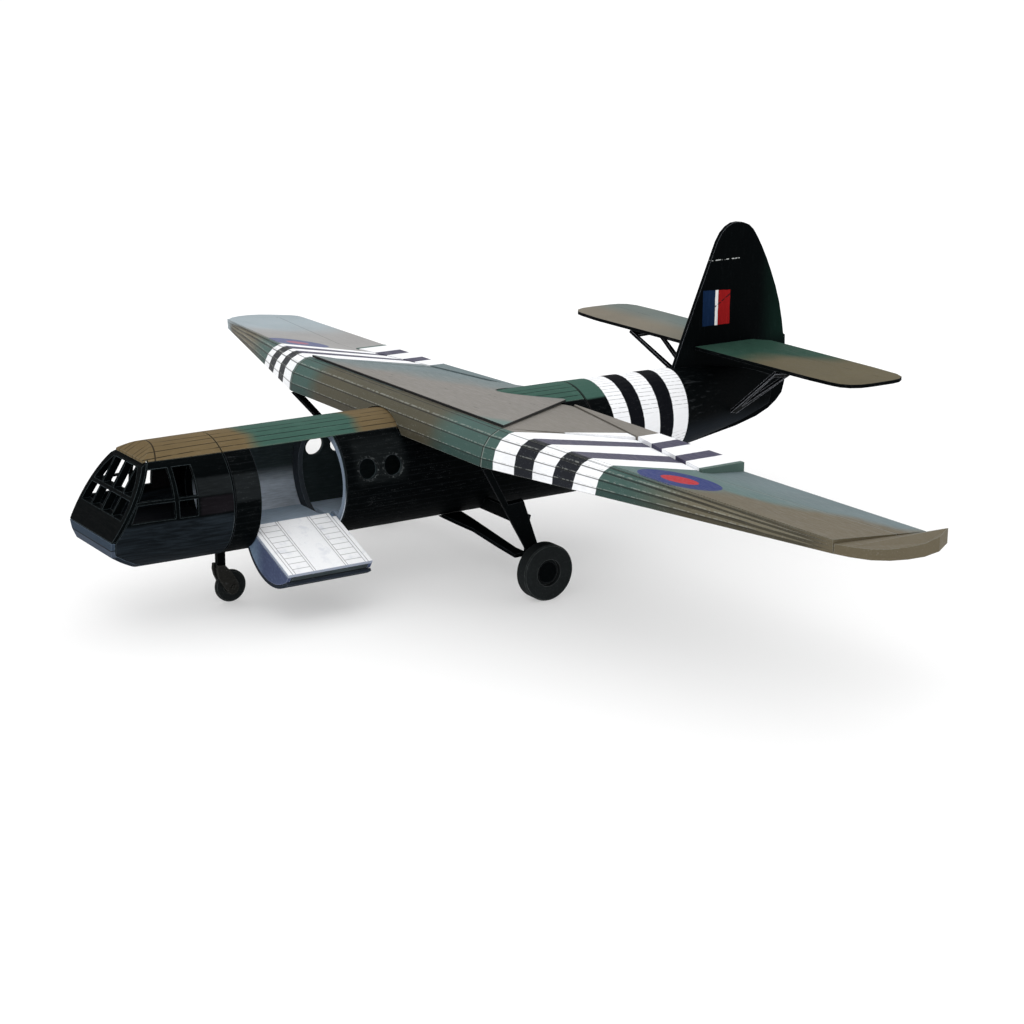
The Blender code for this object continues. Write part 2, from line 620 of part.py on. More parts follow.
def wing_flap(name, sign, trailing):
    outline = [(x, y + CLEAR) for x, y in HINGE_LINE]
    outline[-1] = (FLAP_X[1] - CLEAR, outline[-1][1])
    outline += [(FLAP_X[1] - CLEAR, trailing[2]), (JOINT_X, trailing[1]), (FLAP_X[0], trailing[0])]
    flap = prism_z("wing_flap_" + name, [(sign * x, y) for x, y in outline], FLAP_Z[0], FLAP_Z[1],
                   BROWN)
    end = FLAP_X[1] - CLEAR
    low, high = sorted((sign * FLAP_RIB_X, sign * end))
    rib = block("flap_rib_" + name, (low, HINGE_LINE[2][1] + 2.0, FLAP_RIB_Z),
                (high, trailing[2], FLAP_Z[0] + 0.5))
    boolean(flap, rib, "UNION")


# Wing tips as (x, y, underside, top); the port one is bent up at its aft corner
TIP_EDGE_X = WRAP_END_X + CLEAR
PORT_TIP = (
    (TIP_EDGE_X, TIP_LEADING_Y, 59.9, 63.4), (230.0, 2.6, 59.8, 63.4), (235.5, 6.8, 59.5, 63.3),
    (238.6, 12.4, 59.2, 63.2), (HALF_SPAN, 19.5, 58.7, 63.0), (HALF_SPAN, 27.0, 58.4, 63.1),
    (HALF_SPAN, 33.6, 59.2, 64.5), (235.0, 41.6, 59.7, 65.0), (TIP_EDGE_X, 42.2, 59.4, 61.0),
)
STARBOARD_TIP = (
    (TIP_EDGE_X, TIP_LEADING_Y, 59.9, 63.4), (230.3, 3.6, 59.8, 63.2), (235.0, 7.9, 59.7, 62.9),
    (238.2, 13.4, 59.7, 62.6), (HALF_SPAN, 19.8, 59.6, 62.3), (238.9, 25.0, 59.6, 62.1),
    (236.9, 30.1, 59.6, 61.9), (231.5, 39.0, 59.6, 61.6), (228.2, 41.6, 59.6, 61.5),
    (TIP_EDGE_X, 42.0, 59.6, 61.5),
)


def wing_tip(name, sign, corners):
    low = [(sign * x, y, underside) for x, y, underside, top in corners]
    high = [(sign * x, y, top) for x, y, underside, top in corners]
    loft("wing_tip_" + name, [low, high], BROWN)


# Landing gear
def turned_wheel(name, middle, profile):
    """A wheel turned about X from points of (radius, offset)."""
    mesh = bpy.data.meshes.new(name)
    points = [(offset * MM, 0.0, radius * MM) for radius, offset in profile]
    edges = [(index, (index + 1) % len(points)) for index in range(len(points))]
    mesh.from_pydata(points, edges, [])
    wheel = bpy.data.objects.new(name, mesh)
    MODEL.objects.link(wheel)
    mesh.materials.append(paint(name + "_paint", BLACK))
    wheel.location = Vector(middle) * MM
    screw = wheel.modifiers.new("turn", "SCREW")
    screw.axis = "X"
    screw.steps = 64
    screw.render_steps = 64
    screw.use_merge_vertices = True
    screw.merge_threshold = 0.00001
    screw.use_normal_calculate = True
    return wheel


def wheel_profile(radius, width, bore, recess_radius, recess, sign):
    half = width / 2
    chamfer = 0.5
    profile = [
        (bore, half - recess), (recess_radius, half - recess), (recess_radius, half),
        (radius - chamfer, half), (radius, half - chamfer), (radius, chamfer - half),
        (radius - chamfer, -half), (bore, -half),
    ]
    return [(r, sign * offset) for r, offset in profile]


def leg_point(y, z):
    """A point on the leaning plane of a main leg."""
    return (57.3 + (z - 21.2) * 0.45, y, z)


def main_gear(name, sign):
    x, y, z = MAIN_WHEEL
    bore = MAIN_AXLE_RADIUS + CLEAR
    turned_wheel("main_wheel_" + name, (sign * x, y, z),
                 wheel_profile(MAIN_WHEEL_RADIUS, MAIN_WHEEL_WIDTH, bore, 5.4, HUB_RECESS, sign))
    outline = [(-42.4, 61.8), (-39.2, 61.8), (-25.5, 43.6), (-18.6, 44.2), (-5.5, 22.6),
               (-2.4, 15.0)]
    outline += arc(3.0, 10.0, -190.0, 12, (y, z))
    outline += [(-8.9, 14.5), (-9.9, 19.9)]
    corners = [leg_point(*point) for point in outline]
    side = Vector((1.0, 0.0, -0.45)).normalized() * BOARD
    if sign < 0:
        corners = other_side(corners)
        side.x = -side.x
    corners = [tuple(Vector(corner) - side / 2) for corner in corners]
    leg = swept("gear_leg_" + name, corners, side, BLACK)
    boolean(leg, block("leg_top_" + name, (-90, -60, 61.9), (90, 0, 80)))
    axle_inner = leg_point(y, z)[0] - 2.4
    cap_inner = x + MAIN_WHEEL_WIDTH / 2 - HUB_RECESS + CLEAR
    cap_outer = cap_inner + 0.6
    middle = sign * (axle_inner + cap_outer) / 2
    axle = rod("main_axle_" + name, MAIN_AXLE_RADIUS, (middle, y, z), cap_outer - axle_inner, "X",
               BLACK, sides=24)
    boolean(axle, rod("hub_cap_" + name, 4.3, (sign * (cap_inner + cap_outer) / 2, y, z),
                      cap_outer - cap_inner, "X"), "UNION")
    boolean(leg, rod("leg_bore_" + name, bore, (sign * 53, y, z), 16, "X", sides=24))

    def strut_point(x, y):
        return (sign * x, y, 24.9 - 0.175 * (x - 10.5))

    front = [(8.0, -21.0), (11.4, -20.2), (19.1, -18.0), (26.8, -15.5), (43.2, -13.9),
             (53.3, -12.5), (53.3, -6.9), (48.0, -8.6), (18.5, -10.3), (8.0, -11.4)]
    front_strut = swept("gear_front_strut_" + name, [strut_point(*point) for point in front],
                        (0, 0, -CARD), BLACK)
    rear = [(8.0, -2.1, 24.7), (59.9, -12.8, 30.3), (62.3, -13.3, 35.7), (8.0, -2.1, 30.1)]
    rear_strut = swept("gear_rear_strut_" + name, [(sign * x, y, z) for x, y, z in rear],
                       (sign * 0.4, BOARD, 0.0), BLACK)
    for strut in (front_strut, rear_strut):
        boolean(strut, rod(strut.name + "_seat", HULL_RADIUS + CLEAR, (0, -10, AXIS_Z), 40, "Y",
                           sides=96))


def nose_gear():
    x, y, z = NOSE_WHEEL
    bore = NOSE_AXLE_RADIUS + CLEAR
    turned_wheel("nose_wheel", NOSE_WHEEL,
                 wheel_profile(NOSE_WHEEL_RADIUS, NOSE_WHEEL_WIDTH, bore, 3.2, 0.4, 1))
    strut = block("nose_strut", (-1.0, -116.7, 15.5), (1.0, -113.2, 22.1), BLACK)
    boolean(strut, block("nose_strut_foot", (-1.0, -117.0, 14.9), (1.0, -113.2, 16.9)), "UNION")
    plate = [(-117.2, 16.7), (-117.5, 14.5), (-117.0, 12.1), (-115.9, 9.5), (-114.3, 6.9),
             (-113.1, 5.1), (-111.5, 4.1), (-109.6, 4.6), (-108.6, 6.3), (-109.0, 8.4),
             (-109.9, 10.6), (-111.7, 13.6), (-114.1, 16.5)]
    for name, sign in (("port", 1), ("starboard", -1)):
        low, high = sorted((sign * 1.3, sign * 2.8))
        fork = prism_x("nose_fork_" + name, plate, low, high, BLACK)
        boolean(fork, rod("fork_bore_" + name, bore, (0, y, z), 12, "X", sides=16))
    rod("nose_axle", NOSE_AXLE_RADIUS, NOSE_WHEEL, 6.4, "X", BLACK, sides=16)


def stand_on_ground():
    """Lowers what is drawn so that the wheels touch Z = 0."""
    for item in list(MODEL.objects) + list(CUTTERS.objects):
        if item.parent is None:
            item.location.z -= GROUND_Z * MM


nose_sheets()
nose_body()
nose_block()
hull()
hull_inside()
door()
rear_hull()
tail()
wing_centre()
for side_name, side_sign, wing_trailing, flap_trailing, tip_corners in (
        ("port", 1, ((38.0, 61.3), (42.2, 61.0)), (40.1, 39.7, 39.7), PORT_TIP),
        ("starboard", -1, ((40.8, 62.2), (42.0, 61.5)), (40.1, 36.2, 34.9), STARBOARD_TIP)):
    wing_outer(side_name, side_sign, wing_trailing)
    wing_flap(side_name, side_sign, flap_trailing)
    wing_tip(side_name, side_sign, tip_corners)
    main_gear(side_name, side_sign)
nose_gear()
stand_on_ground()
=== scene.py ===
import math

import bpy
from mathutils import Matrix, Vector

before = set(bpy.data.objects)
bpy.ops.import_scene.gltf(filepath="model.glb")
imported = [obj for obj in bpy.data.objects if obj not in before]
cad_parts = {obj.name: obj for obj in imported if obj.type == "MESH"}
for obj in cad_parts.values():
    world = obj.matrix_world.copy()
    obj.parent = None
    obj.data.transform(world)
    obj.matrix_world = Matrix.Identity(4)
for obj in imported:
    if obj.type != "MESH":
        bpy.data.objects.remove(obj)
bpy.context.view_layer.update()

# Table and light. The model stands on a plain pale table top that glows a
# little, in an even room, with a big soft lamp over the nose and a weaker one
# behind the tail.
TABLE_REACH = 9
table_mesh = bpy.data.meshes.new("table_top")
table_mesh.from_pydata([(x * TABLE_REACH, y * TABLE_REACH, 0)
                        for x, y in ((-1, -1), (1, -1), (1, 1), (-1, 1))], [], [(0, 1, 2, 3)])
table_top = bpy.data.objects.new("table_top", table_mesh)
bpy.context.scene.collection.objects.link(table_top)
table_paper = bpy.data.materials.new("table_paper")
table_paper.use_nodes = True
table_shader = table_paper.node_tree.nodes["Principled BSDF"]
for setting, value in (("Base Color", (0.62, 0.62, 0.62, 1)), ("Roughness", 0.9),
                       ("Specular IOR Level", 0.1), ("Emission Color", (1.0, 1.0, 1.0, 1)),
                       ("Emission Strength", 0.36)):
    table_shader.inputs[setting].default_value = value
table_mesh.materials.append(table_paper)

room = bpy.data.worlds.new("pale_room")
room.use_nodes = True
room_light = room.node_tree.nodes["Background"].inputs
room_light["Color"].default_value = (1.0, 1.0, 1.0, 1.0)
room_light["Strength"].default_value = 1.06
bpy.context.scene.world = room
bpy.context.scene.view_settings.view_transform = "Standard"


def hang_lamp(name, place, aim, width, power):
    lamp = bpy.data.lights.new(name, "AREA")
    lamp.shape = "DISK"
    lamp.size = width
    lamp.energy = power
    holder = bpy.data.objects.new(name, lamp)
    holder.location = place
    holder.rotation_mode = "QUATERNION"
    holder.rotation_quaternion = (Vector(aim) - Vector(place)).to_track_quat("-Z", "Y")
    bpy.context.scene.collection.objects.link(holder)


MODEL_MIDDLE = (0, 0, 0.05)
hang_lamp("lamp_over_nose", (0.9, -1.1, 1.9), MODEL_MIDDLE, width=1.6, power=8.0)
hang_lamp("lamp_behind_tail", (-0.8, 1.2, 1.6), MODEL_MIDDLE, width=1.4, power=5.0)

# Camera. A long lens a little above the model, ahead of the port wing tip and
# level but for a third of a degree.
lens = bpy.data.cameras.new("camera")
lens.lens = 77.02
lens.sensor_width = 36.0
lens.clip_start, lens.clip_end = 0.01, 30.0
azimuth, elevation, roll = (math.radians(angle) for angle in (56.57, 15.996, 0.315))
back = Vector((math.sin(azimuth) * math.cos(elevation),
               -math.cos(azimuth) * math.cos(elevation), math.sin(elevation)))
level = Vector((math.cos(azimuth), math.sin(azimuth), 0.0))
upright = back.cross(level)
right = level * math.cos(roll) + upright * math.sin(roll)
up = upright * math.cos(roll) - level * math.sin(roll)
CAMERA_PLACE = (0.7432, -0.4694, 0.2714)
camera = bpy.data.objects.new("camera", lens)
camera.matrix_world = (Matrix.Translation(CAMERA_PLACE)
                       @ Matrix((right, up, back)).transposed().to_4x4())
bpy.context.scene.collection.objects.link(camera)
bpy.context.scene.camera = camera

# Nose. Scored card folded round the front of the cabin and brushed black. The
# laser-cut rims of the open window panes show pale through the paint, and the
# chin below them is a strip of bare blue-grey card.


class PaintBench:
    """Wires the nodes of one paint, or of one effect that several paints share."""

    def __init__(self, tree):
        self.tree = tree
        self.along = None

    def node(self, kind, feeds=(), **settings):
        made = self.tree.nodes.new(kind)
        for name, setting in settings.items():
            setattr(made, name, setting)
        for socket, fed in feeds:
            self.feed(made.inputs[socket], fed)
        return made

    def feed(self, socket, fed):
        if isinstance(fed, bpy.types.NodeSocket):
            self.tree.links.new(fed, socket)
        else:
            socket.default_value = fed

    def sum(self, operation, first, second=0.0, third=0.0):
        made = self.node("ShaderNodeMath", enumerate((first, second, third)), operation=operation)
        return made.outputs[0]

    def ramp(self, value, start, end, low=0.0, high=1.0):
        """Runs smoothly from low to high as a value goes from start to end."""
        made = self.node("ShaderNodeMapRange", ((0, value), (1, start), (2, end), (3, low), (4, high)),
                         interpolation_type="SMOOTHSTEP")
        return made.outputs[0]

    def mix(self, share, under, over):
        """Lays one colour over another; sockets 6 and 7 are the node's two colours."""
        made = self.node("ShaderNodeMix", ((0, share), (6, under), (7, over)), data_type="RGBA")
        return made.outputs[2]

    def noise(self, scale, detail=2.0, stretch=(1.0, 1.0, 1.0)):
        """Cloudy values from 0 to 1; the scale is spots per millimetre."""
        spread = self.node("ShaderNodeVectorMath", ((0, self.place()), (1, stretch)),
                           operation="MULTIPLY")
        made = self.node("ShaderNodeTexNoise", (("Vector", spread.outputs[0]), ("Scale", scale),
                                                ("Detail", detail)))
        return made.outputs["Fac"]

    def drift(self, scale, detail, reach):
        """An uneven shift of at most a reach either way, that makes a border wander."""
        return self.sum("MULTIPLY_ADD", self.noise(scale, detail), 2 * reach, -reach)

    def slant(self, value, start, level, slope):
        """A place that is at its level where a value is at its start, and moves at a slope."""
        return self.sum("MULTIPLY_ADD", self.sum("SUBTRACT", value, start), slope, level)

    def from_middle(self, first, second):
        """The distance from a middle, out of two distances at right angles."""
        return self.sum("SQRT", self.sum("ADD", self.sum("MULTIPLY", first, first),
                                         self.sum("MULTIPLY", second, second)))

    def times(self, vector, factor):
        made = self.node("ShaderNodeVectorMath", ((0, vector), (3, factor)), operation="SCALE")
        return made.outputs[0]

    def place(self):
        """The point on the model, in millimetres."""
        if self.along is None:
            where = self.node("ShaderNodeTexCoord").outputs["Object"]
            self.along = self.times(where, 1000.0)
        return self.along

    def axes(self):
        split = self.node("ShaderNodeSeparateXYZ", ((0, self.place()),))
        return split.outputs[0], split.outputs[1], split.outputs[2]

    def facing_up(self):
        """The height of the surface's own normal: 1 on top, -1 underneath."""
        plain = self.node("ShaderNodeNewGeometry").outputs["True Normal"]
        return self.node("ShaderNodeSeparateXYZ", ((0, plain),)).outputs[2]

    def effect(self, group, **feeds):
        made = self.node("ShaderNodeGroup", node_tree=group)
        for name, fed in feeds.items():
            self.feed(made.inputs[name], fed)
        return made.outputs


def new_effect(name, inputs, outputs):
    """An empty shared effect, with its bench and its group input and output."""
    group = bpy.data.node_groups.new(name, "ShaderNodeTree")
    for label, kind, value in inputs:
        socket = group.interface.new_socket(name=label, in_out="INPUT", socket_type="NodeSocket" + kind)
        socket.default_value = value
    for label, kind in outputs:
        group.interface.new_socket(name=label, in_out="OUTPUT", socket_type="NodeSocket" + kind)
    bench = PaintBench(group)
    return group, bench, bench.node("NodeGroupInput").outputs, bench.node("NodeGroupOutput").inputs


# Brushed paint: broad patches, fine strokes along the piece and small pale specks, which are dust and,
# on the wing, also painted glints of light
brushed, bench, given, made = new_effect(
    "brushed_paint",
    (("Colour", "Color", (0.5, 0.5, 0.5, 1)), ("Strokes", "Vector", (1, 1, 1)),
     ("Patchiness", "Float", 0.3), ("Dust", "Float", 0.1)),
    (("Colour", "Color"), ("Roughness", "Float"), ("Height", "Float")))
patches = bench.noise(0.045, 3.0)
spread = bench.node("ShaderNodeVectorMath", ((0, bench.place()), (1, given["Strokes"])),
                    operation="MULTIPLY").outputs[0]
strokes = bench.node("ShaderNodeTexNoise", (("Vector", spread), ("Scale", 1.6),
                                            ("Detail", 4.0))).outputs[0]
specks = bench.noise(3.0, 1.0)
shade = bench.sum("ADD", bench.sum("MULTIPLY", patches, 0.9), bench.sum("MULTIPLY", strokes, 1.1))
shade = bench.sum("SUBTRACT", shade, 1.0)
shade = bench.sum("MULTIPLY_ADD", shade, given["Patchiness"], 1.0)
DUST_AND_GLINT_GREY = (0.40, 0.42, 0.44, 1)
dust_and_glint_specks = bench.ramp(bench.sum("MULTIPLY", specks, strokes), 0.32, 0.46)
dust_and_glint_specks = bench.sum("MULTIPLY", dust_and_glint_specks, given["Dust"])
bench.feed(made["Colour"], bench.mix(dust_and_glint_specks, bench.times(given["Colour"], shade), DUST_AND_GLINT_GREY))
bench.feed(made["Roughness"], bench.ramp(strokes, 0.3, 0.7, 0.48, 0.72))
bench.feed(made["Height"], bench.sum("ADD", strokes, bench.sum("MULTIPLY", specks, 0.6)))

# Worn edges: paint rubbed thin where two faces of a cut sheet meet
worn, bench, given, made = new_effect(
    "worn_edges", (("Reach", "Float", 0.0004), ("Share", "Float", 1.0)), (("Mask", "Float"),))
soft = bench.node("ShaderNodeBevel", (("Radius", given["Reach"]),), samples=4).outputs[0]
plain = bench.node("ShaderNodeNewGeometry").outputs["Normal"]
turn = bench.node("ShaderNodeVectorMath", ((0, soft), (1, plain)),
                  operation="DOT_PRODUCT").outputs["Value"]
rubbed = bench.ramp(turn, 0.985, 0.90)
rubbed = bench.sum("MULTIPLY", rubbed, bench.ramp(bench.noise(0.9, 3.0), 0.30, 0.58, 0.35, 1.0))
bench.feed(made["Mask"], bench.sum("MULTIPLY", rubbed, given["Share"]))

# Scored lines: a thin laser line, dark where the paint has gone into it
scored, bench, given, made = new_effect(
    "scored_line", (("Distance", "Float", 0.0), ("Width", "Float", 0.3)), (("Mask", "Float"),))
off = bench.sum("ABSOLUTE", given["Distance"])
near = bench.sum("MULTIPLY", given["Width"], 0.5)
far = bench.sum("ADD", given["Width"], 0.12)
bench.feed(made["Mask"], bench.sum("SUBTRACT", 1.0, bench.ramp(off, near, far)))

# Painted bands: colour between two places, its edges a little uneven by hand
banded, bench, given, made = new_effect(
    "painted_band", (("Place", "Float", 0.0), ("Start", "Float", 0.0), ("End", "Float", 1.0),
                     ("Softness", "Float", 0.12)), (("Mask", "Float"),))
where = bench.sum("ADD", given["Place"], bench.drift(0.35, 2.0, 0.25))
outside = bench.sum("MULTIPLY", given["Softness"], -1.0)
entered = bench.ramp(bench.sum("SUBTRACT", where, given["Start"]), outside, given["Softness"])
left = bench.ramp(bench.sum("SUBTRACT", given["End"], where), outside, given["Softness"])
bench.feed(made["Mask"], bench.sum("MULTIPLY", entered, left))


def start_paint(name):
    """A new paint's material and the bench to wire it on."""
    paint = bpy.data.materials.new(name)
    paint.use_nodes = True
    return paint, PaintBench(paint.node_tree)


def line_at(bench, value, place, width):
    """The mask of a scored line where a value comes to a place."""
    return bench.effect(scored, Distance=bench.sum("SUBTRACT", value, place), Width=width)["Mask"]


def lines_every(bench, value, spacing, width):
    """The mask of scored lines one spacing apart."""
    between = bench.sum("SUBTRACT", bench.sum("FRACT", bench.sum("DIVIDE", value, spacing)), 0.5)
    return bench.effect(scored, Distance=bench.sum("MULTIPLY", between, spacing), Width=width)["Mask"]


def band(bench, value, start, end):
    """The mask of a painted band between two places."""
    return bench.effect(banded, Place=value, Start=start, End=end)["Mask"]


def either(bench, masks):
    """The mask of all that any of the masks covers."""
    joined = masks[0]
    for mask in masks[1:]:
        joined = bench.sum("MAXIMUM", joined, mask)
    return joined


SCORED_BLACK = (0.008, 0.008, 0.008, 1)


def brush_on(bench, colour, lines=None, strokes=(1.0, 0.12, 1.0), patchiness=0.35, dust_and_glints=0.015,
             edge=(0.10, 0.115, 0.13, 1), edge_share=0.8, reach=0.00035, line_share=0.85, gloss=0.012):
    """Feeds a colour through the brush strokes, scored lines and worn edges to the shader."""
    shader = bench.tree.nodes["Principled BSDF"]
    coat = bench.effect(brushed, Colour=colour, Strokes=strokes, Patchiness=patchiness, Dust=dust_and_glints)
    rubbed = bench.effect(worn, Reach=reach, Share=edge_share)["Mask"]
    mixed = bench.mix(rubbed, coat["Colour"], edge)
    height = bench.sum("MULTIPLY", coat["Height"], 0.35)
    if lines is not None:
        mixed = bench.mix(bench.sum("MULTIPLY", lines, line_share), mixed, SCORED_BLACK)
        height = bench.sum("SUBTRACT", height, bench.sum("MULTIPLY", lines, 2.0))
    bump = bench.node("ShaderNodeBump", (("Strength", 0.5), ("Distance", 0.0001), ("Height", height)))
    bench.feed(shader.inputs["Base Color"], mixed)
    bench.feed(shader.inputs["Roughness"], coat["Roughness"])
    bench.feed(shader.inputs["Normal"], bump.outputs[0])
    shader.inputs["Specular IOR Level"].default_value = gloss


def patch(bench, colour, over, *spans):
    """Brushes a soft-edged block of colour between pairs of places on some axes."""
    mask = 1.0
    for place, start, end, softness in spans:
        edge = bench.effect(banded, Place=place, Start=start, End=end, Softness=softness)["Mask"]
        mask = bench.sum("MULTIPLY", edge, mask)
    return bench.mix(mask, colour, over)


def give(paint, *nodes):
    """Puts a paint on CAD nodes in the place of their plain one."""
    for node in nodes:
        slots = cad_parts[node].data.materials
        slots.clear()
        slots.append(paint)


NIGHT_BLACK = (0.0010, 0.0017, 0.0020, 1)
BRUSHED_GREY = (0.0105, 0.0125, 0.0135, 1)
PALE_RIM = (0.060, 0.078, 0.084, 1)
NOSE_STREAKS = (0.0090, 0.0125, 0.0160)
NOSE_SHEEN = (0.0070, 0.0060, 0.0075, 1)

nose_black, bench = start_paint("nose_black")
brush_on(bench, NIGHT_BLACK, strokes=(0.15, 1.0, 1.0), patchiness=0.9, edge=PALE_RIM)
give(nose_black, "nose_window_sheet", "nose_former")

# Nose sides: dark round the panes, greyer and finely streaked below them
nose_sides, bench = start_paint("nose_sides")
x, y, z = bench.axes()
streaks = bench.ramp(bench.noise(1.5, 3.0, (1.0, 0.03, 1.0)), 0.35, 0.65, 0.55, 1.3)
below = bench.ramp(z, 43.6, 42.4)
colour = bench.mix(below, NIGHT_BLACK, bench.times(NOSE_STREAKS, streaks))
colour = patch(bench, colour, BRUSHED_GREY, (y, -133.5, -119.0, 1.0), (z, 51.0, 57.5, 0.5))
colour = patch(bench, colour, NOSE_SHEEN, (y, -133.0, -119.0, 1.0), (z, 44.0, 50.6, 0.5))
brush_on(bench, colour, patchiness=0.9, edge=PALE_RIM)
give(nose_sides, "nose_shell")

# Chin: three shades of blue-grey from the top of the strip down
CHIN_FOLD_Z = 34.3
CHIN_UPPER = (0.030, 0.044, 0.064, 1)
CHIN_FRONT = (0.052, 0.066, 0.092, 1)
CHIN_UNDER = (0.014, 0.019, 0.026, 1)
chin_blue, bench = start_paint("chin_blue_grey")
x, y, z = bench.axes()
colour = bench.mix(bench.ramp(z, 34.8, 33.9), CHIN_UPPER, CHIN_FRONT)
colour = bench.mix(bench.ramp(z, 31.6, 30.6), colour, CHIN_UNDER)
brush_on(bench, colour, lines=line_at(bench, z, CHIN_FOLD_Z, 0.22), strokes=(0.12, 1.0, 1.0),
         patchiness=0.7, edge=(0.13, 0.17, 0.22, 1))
give(chin_blue, "nose_chin")

CABIN_REAR = (0.006, 0.007, 0.009, 1)
CABIN_FRONT = (0.030, 0.027, 0.038, 1)
cabin_dark, bench = start_paint("cabin_dark")
x, y, z = bench.axes()
colour = bench.mix(bench.ramp(y, -148.0, -156.0), CABIN_REAR, CABIN_FRONT)
brush_on(bench, colour, patchiness=0.6, edge=(0.02, 0.02, 0.025, 1))
give(cabin_dark, "cockpit_floor")

# Roofs. Three sheets of card bent over the top of the nose and hull, scored
# with lines along them and painted tan, with a soft-edged green between.
TAN = (0.135, 0.098, 0.050, 1)
GREEN = (0.044, 0.098, 0.078, 1)
ROOF_LINES_X = (2.9, 5.9, 9.0, 11.8)
roof_camouflage, bench = start_paint("roof_camouflage")
x, y, z = bench.axes()
along = bench.sum("ADD", y, bench.drift(0.06, 2.0, 7.0))
green = bench.sum("SUBTRACT", bench.ramp(along, -109.0, -101.0), bench.ramp(along, -64.0, -57.0))
behind_wing = bench.ramp(y, -20.0, 0.0)
colour = bench.mix(bench.sum("MAXIMUM", green, behind_wing), TAN, GREEN)
# Lines: one curved fold across the nose, and straight ones along, worn away in places
curve = bench.sum("MULTIPLY_ADD", bench.sum("MULTIPLY", x, x), -0.017, -143.4)
fold = line_at(bench, y, curve, 0.30)
across = bench.sum("ABSOLUTE", x)
straight = either(bench, [line_at(bench, across, place, 0.14) for place in ROOF_LINES_X])
broken = bench.ramp(bench.noise(0.25, 2.0, (1.0, 0.4, 1.0)), 0.36, 0.48, 0.35, 1.0)
lines = bench.sum("MAXIMUM", fold, bench.sum("MULTIPLY", straight, broken))
brush_on(bench, colour, lines=lines, dust_and_glints=0.1, edge=(0.20, 0.21, 0.17, 1), edge_share=0.6)
give(roof_camouflage, "nose_roof", "hull_roof_front", "hull_roof_rear")

# Hull. One sheet of scored card wrapped round the formers, black outside and
# bare grey inside, with the door opening and four portholes cut through it.
HULL_MIDDLE_Z = 45.4
HULL_RADIUS = 23.7
HULL_LINE_SPACING = 2.96
PORTHOLES_Y, PORTHOLES_Z = (-61.1, -49.8), 51.6
SHADED_CARD = (0.032, 0.044, 0.047, 1)
LIT_CARD = (0.50, 0.56, 0.64, 1)
HULL_SHEEN = (0.0060, 0.0075, 0.0080, 1)
HULL_LINE_GREY = (0.012, 0.014, 0.016, 1)
PORTHOLE_GREY = (0.070, 0.078, 0.078, 1)
hull_paint, bench = start_paint("hull_paint")
x, y, z = bench.axes()
rise = bench.sum("SUBTRACT", z, HULL_MIDDLE_Z)
inside = bench.ramp(bench.from_middle(x, rise), 23.1, 22.7)
by_door = bench.sum("MULTIPLY", bench.ramp(z, 46.0, 37.0), bench.ramp(y, -66.0, -70.0))
bare_card = bench.mix(by_door, SHADED_CARD, LIT_CARD)
colour = patch(bench, NIGHT_BLACK, BRUSHED_GREY, (y, -118.5, -107.0, 0.4), (z, 47.0, 57.0, 0.8))
colour = patch(bench, colour, HULL_SHEEN, (y, -66.0, -44.0, 2.0), (z, 46.0, 62.0, 2.0))
scratches = bench.ramp(bench.noise(1.1, 4.0), 0.50, 0.66, 0.0, 0.9)
for hole_y in PORTHOLES_Y:
    ring = bench.from_middle(bench.sum("SUBTRACT", y, hole_y), bench.sum("SUBTRACT", z, PORTHOLES_Z))
    rim = bench.effect(banded, Place=ring, Start=3.9, End=4.9, Softness=0.35)["Mask"]
    colour = bench.mix(bench.sum("MULTIPLY", rim, scratches), colour, PORTHOLE_GREY)
around = bench.sum("MULTIPLY", bench.sum("ARCTAN2", rise, x), HULL_RADIUS)
score = lines_every(bench, around, HULL_LINE_SPACING, 0.10)
colour = bench.mix(bench.sum("MULTIPLY", score, 0.35), colour, HULL_LINE_GREY)
colour = bench.mix(inside, colour, bare_card)
brush_on(bench, colour, patchiness=0.8, dust_and_glints=0.05, edge=(0.050, 0.058, 0.066, 1))
give(hull_paint, "hull_shell")
give(nose_black, "tail_former", "door_hinge_pin")

# Hold. Two decks and a sill of pale blue-grey board, and behind the doorway a
# ring of board that is paler to port than in the shade to starboard.
HOLD_BLUE = (0.50, 0.61, 0.74, 1)
RING_PORT = (0.21, 0.26, 0.33, 1)
RING_STARBOARD = (0.055, 0.066, 0.078, 1)
hold_board, bench = start_paint("hold_board")
brush_on(bench, HOLD_BLUE, patchiness=0.5, dust_and_glints=0.10, edge=(0.62, 0.70, 0.80, 1), edge_share=0.4)
give(hold_board, "hold_deck_front", "hold_deck_rear", "door_sill", "door_hinge_lug")
ring_board, bench = start_paint("ring_board")
x, y, z = bench.axes()
colour = bench.mix(bench.ramp(x, 2.0, -6.0), RING_PORT, RING_STARBOARD)
brush_on(bench, colour, strokes=(1.0, 1.0, 0.2), patchiness=0.4, dust_and_glints=0.1, edge=(0.36, 0.42, 0.50, 1),
         edge_share=0.35)
give(ring_board, "door_bulkhead")

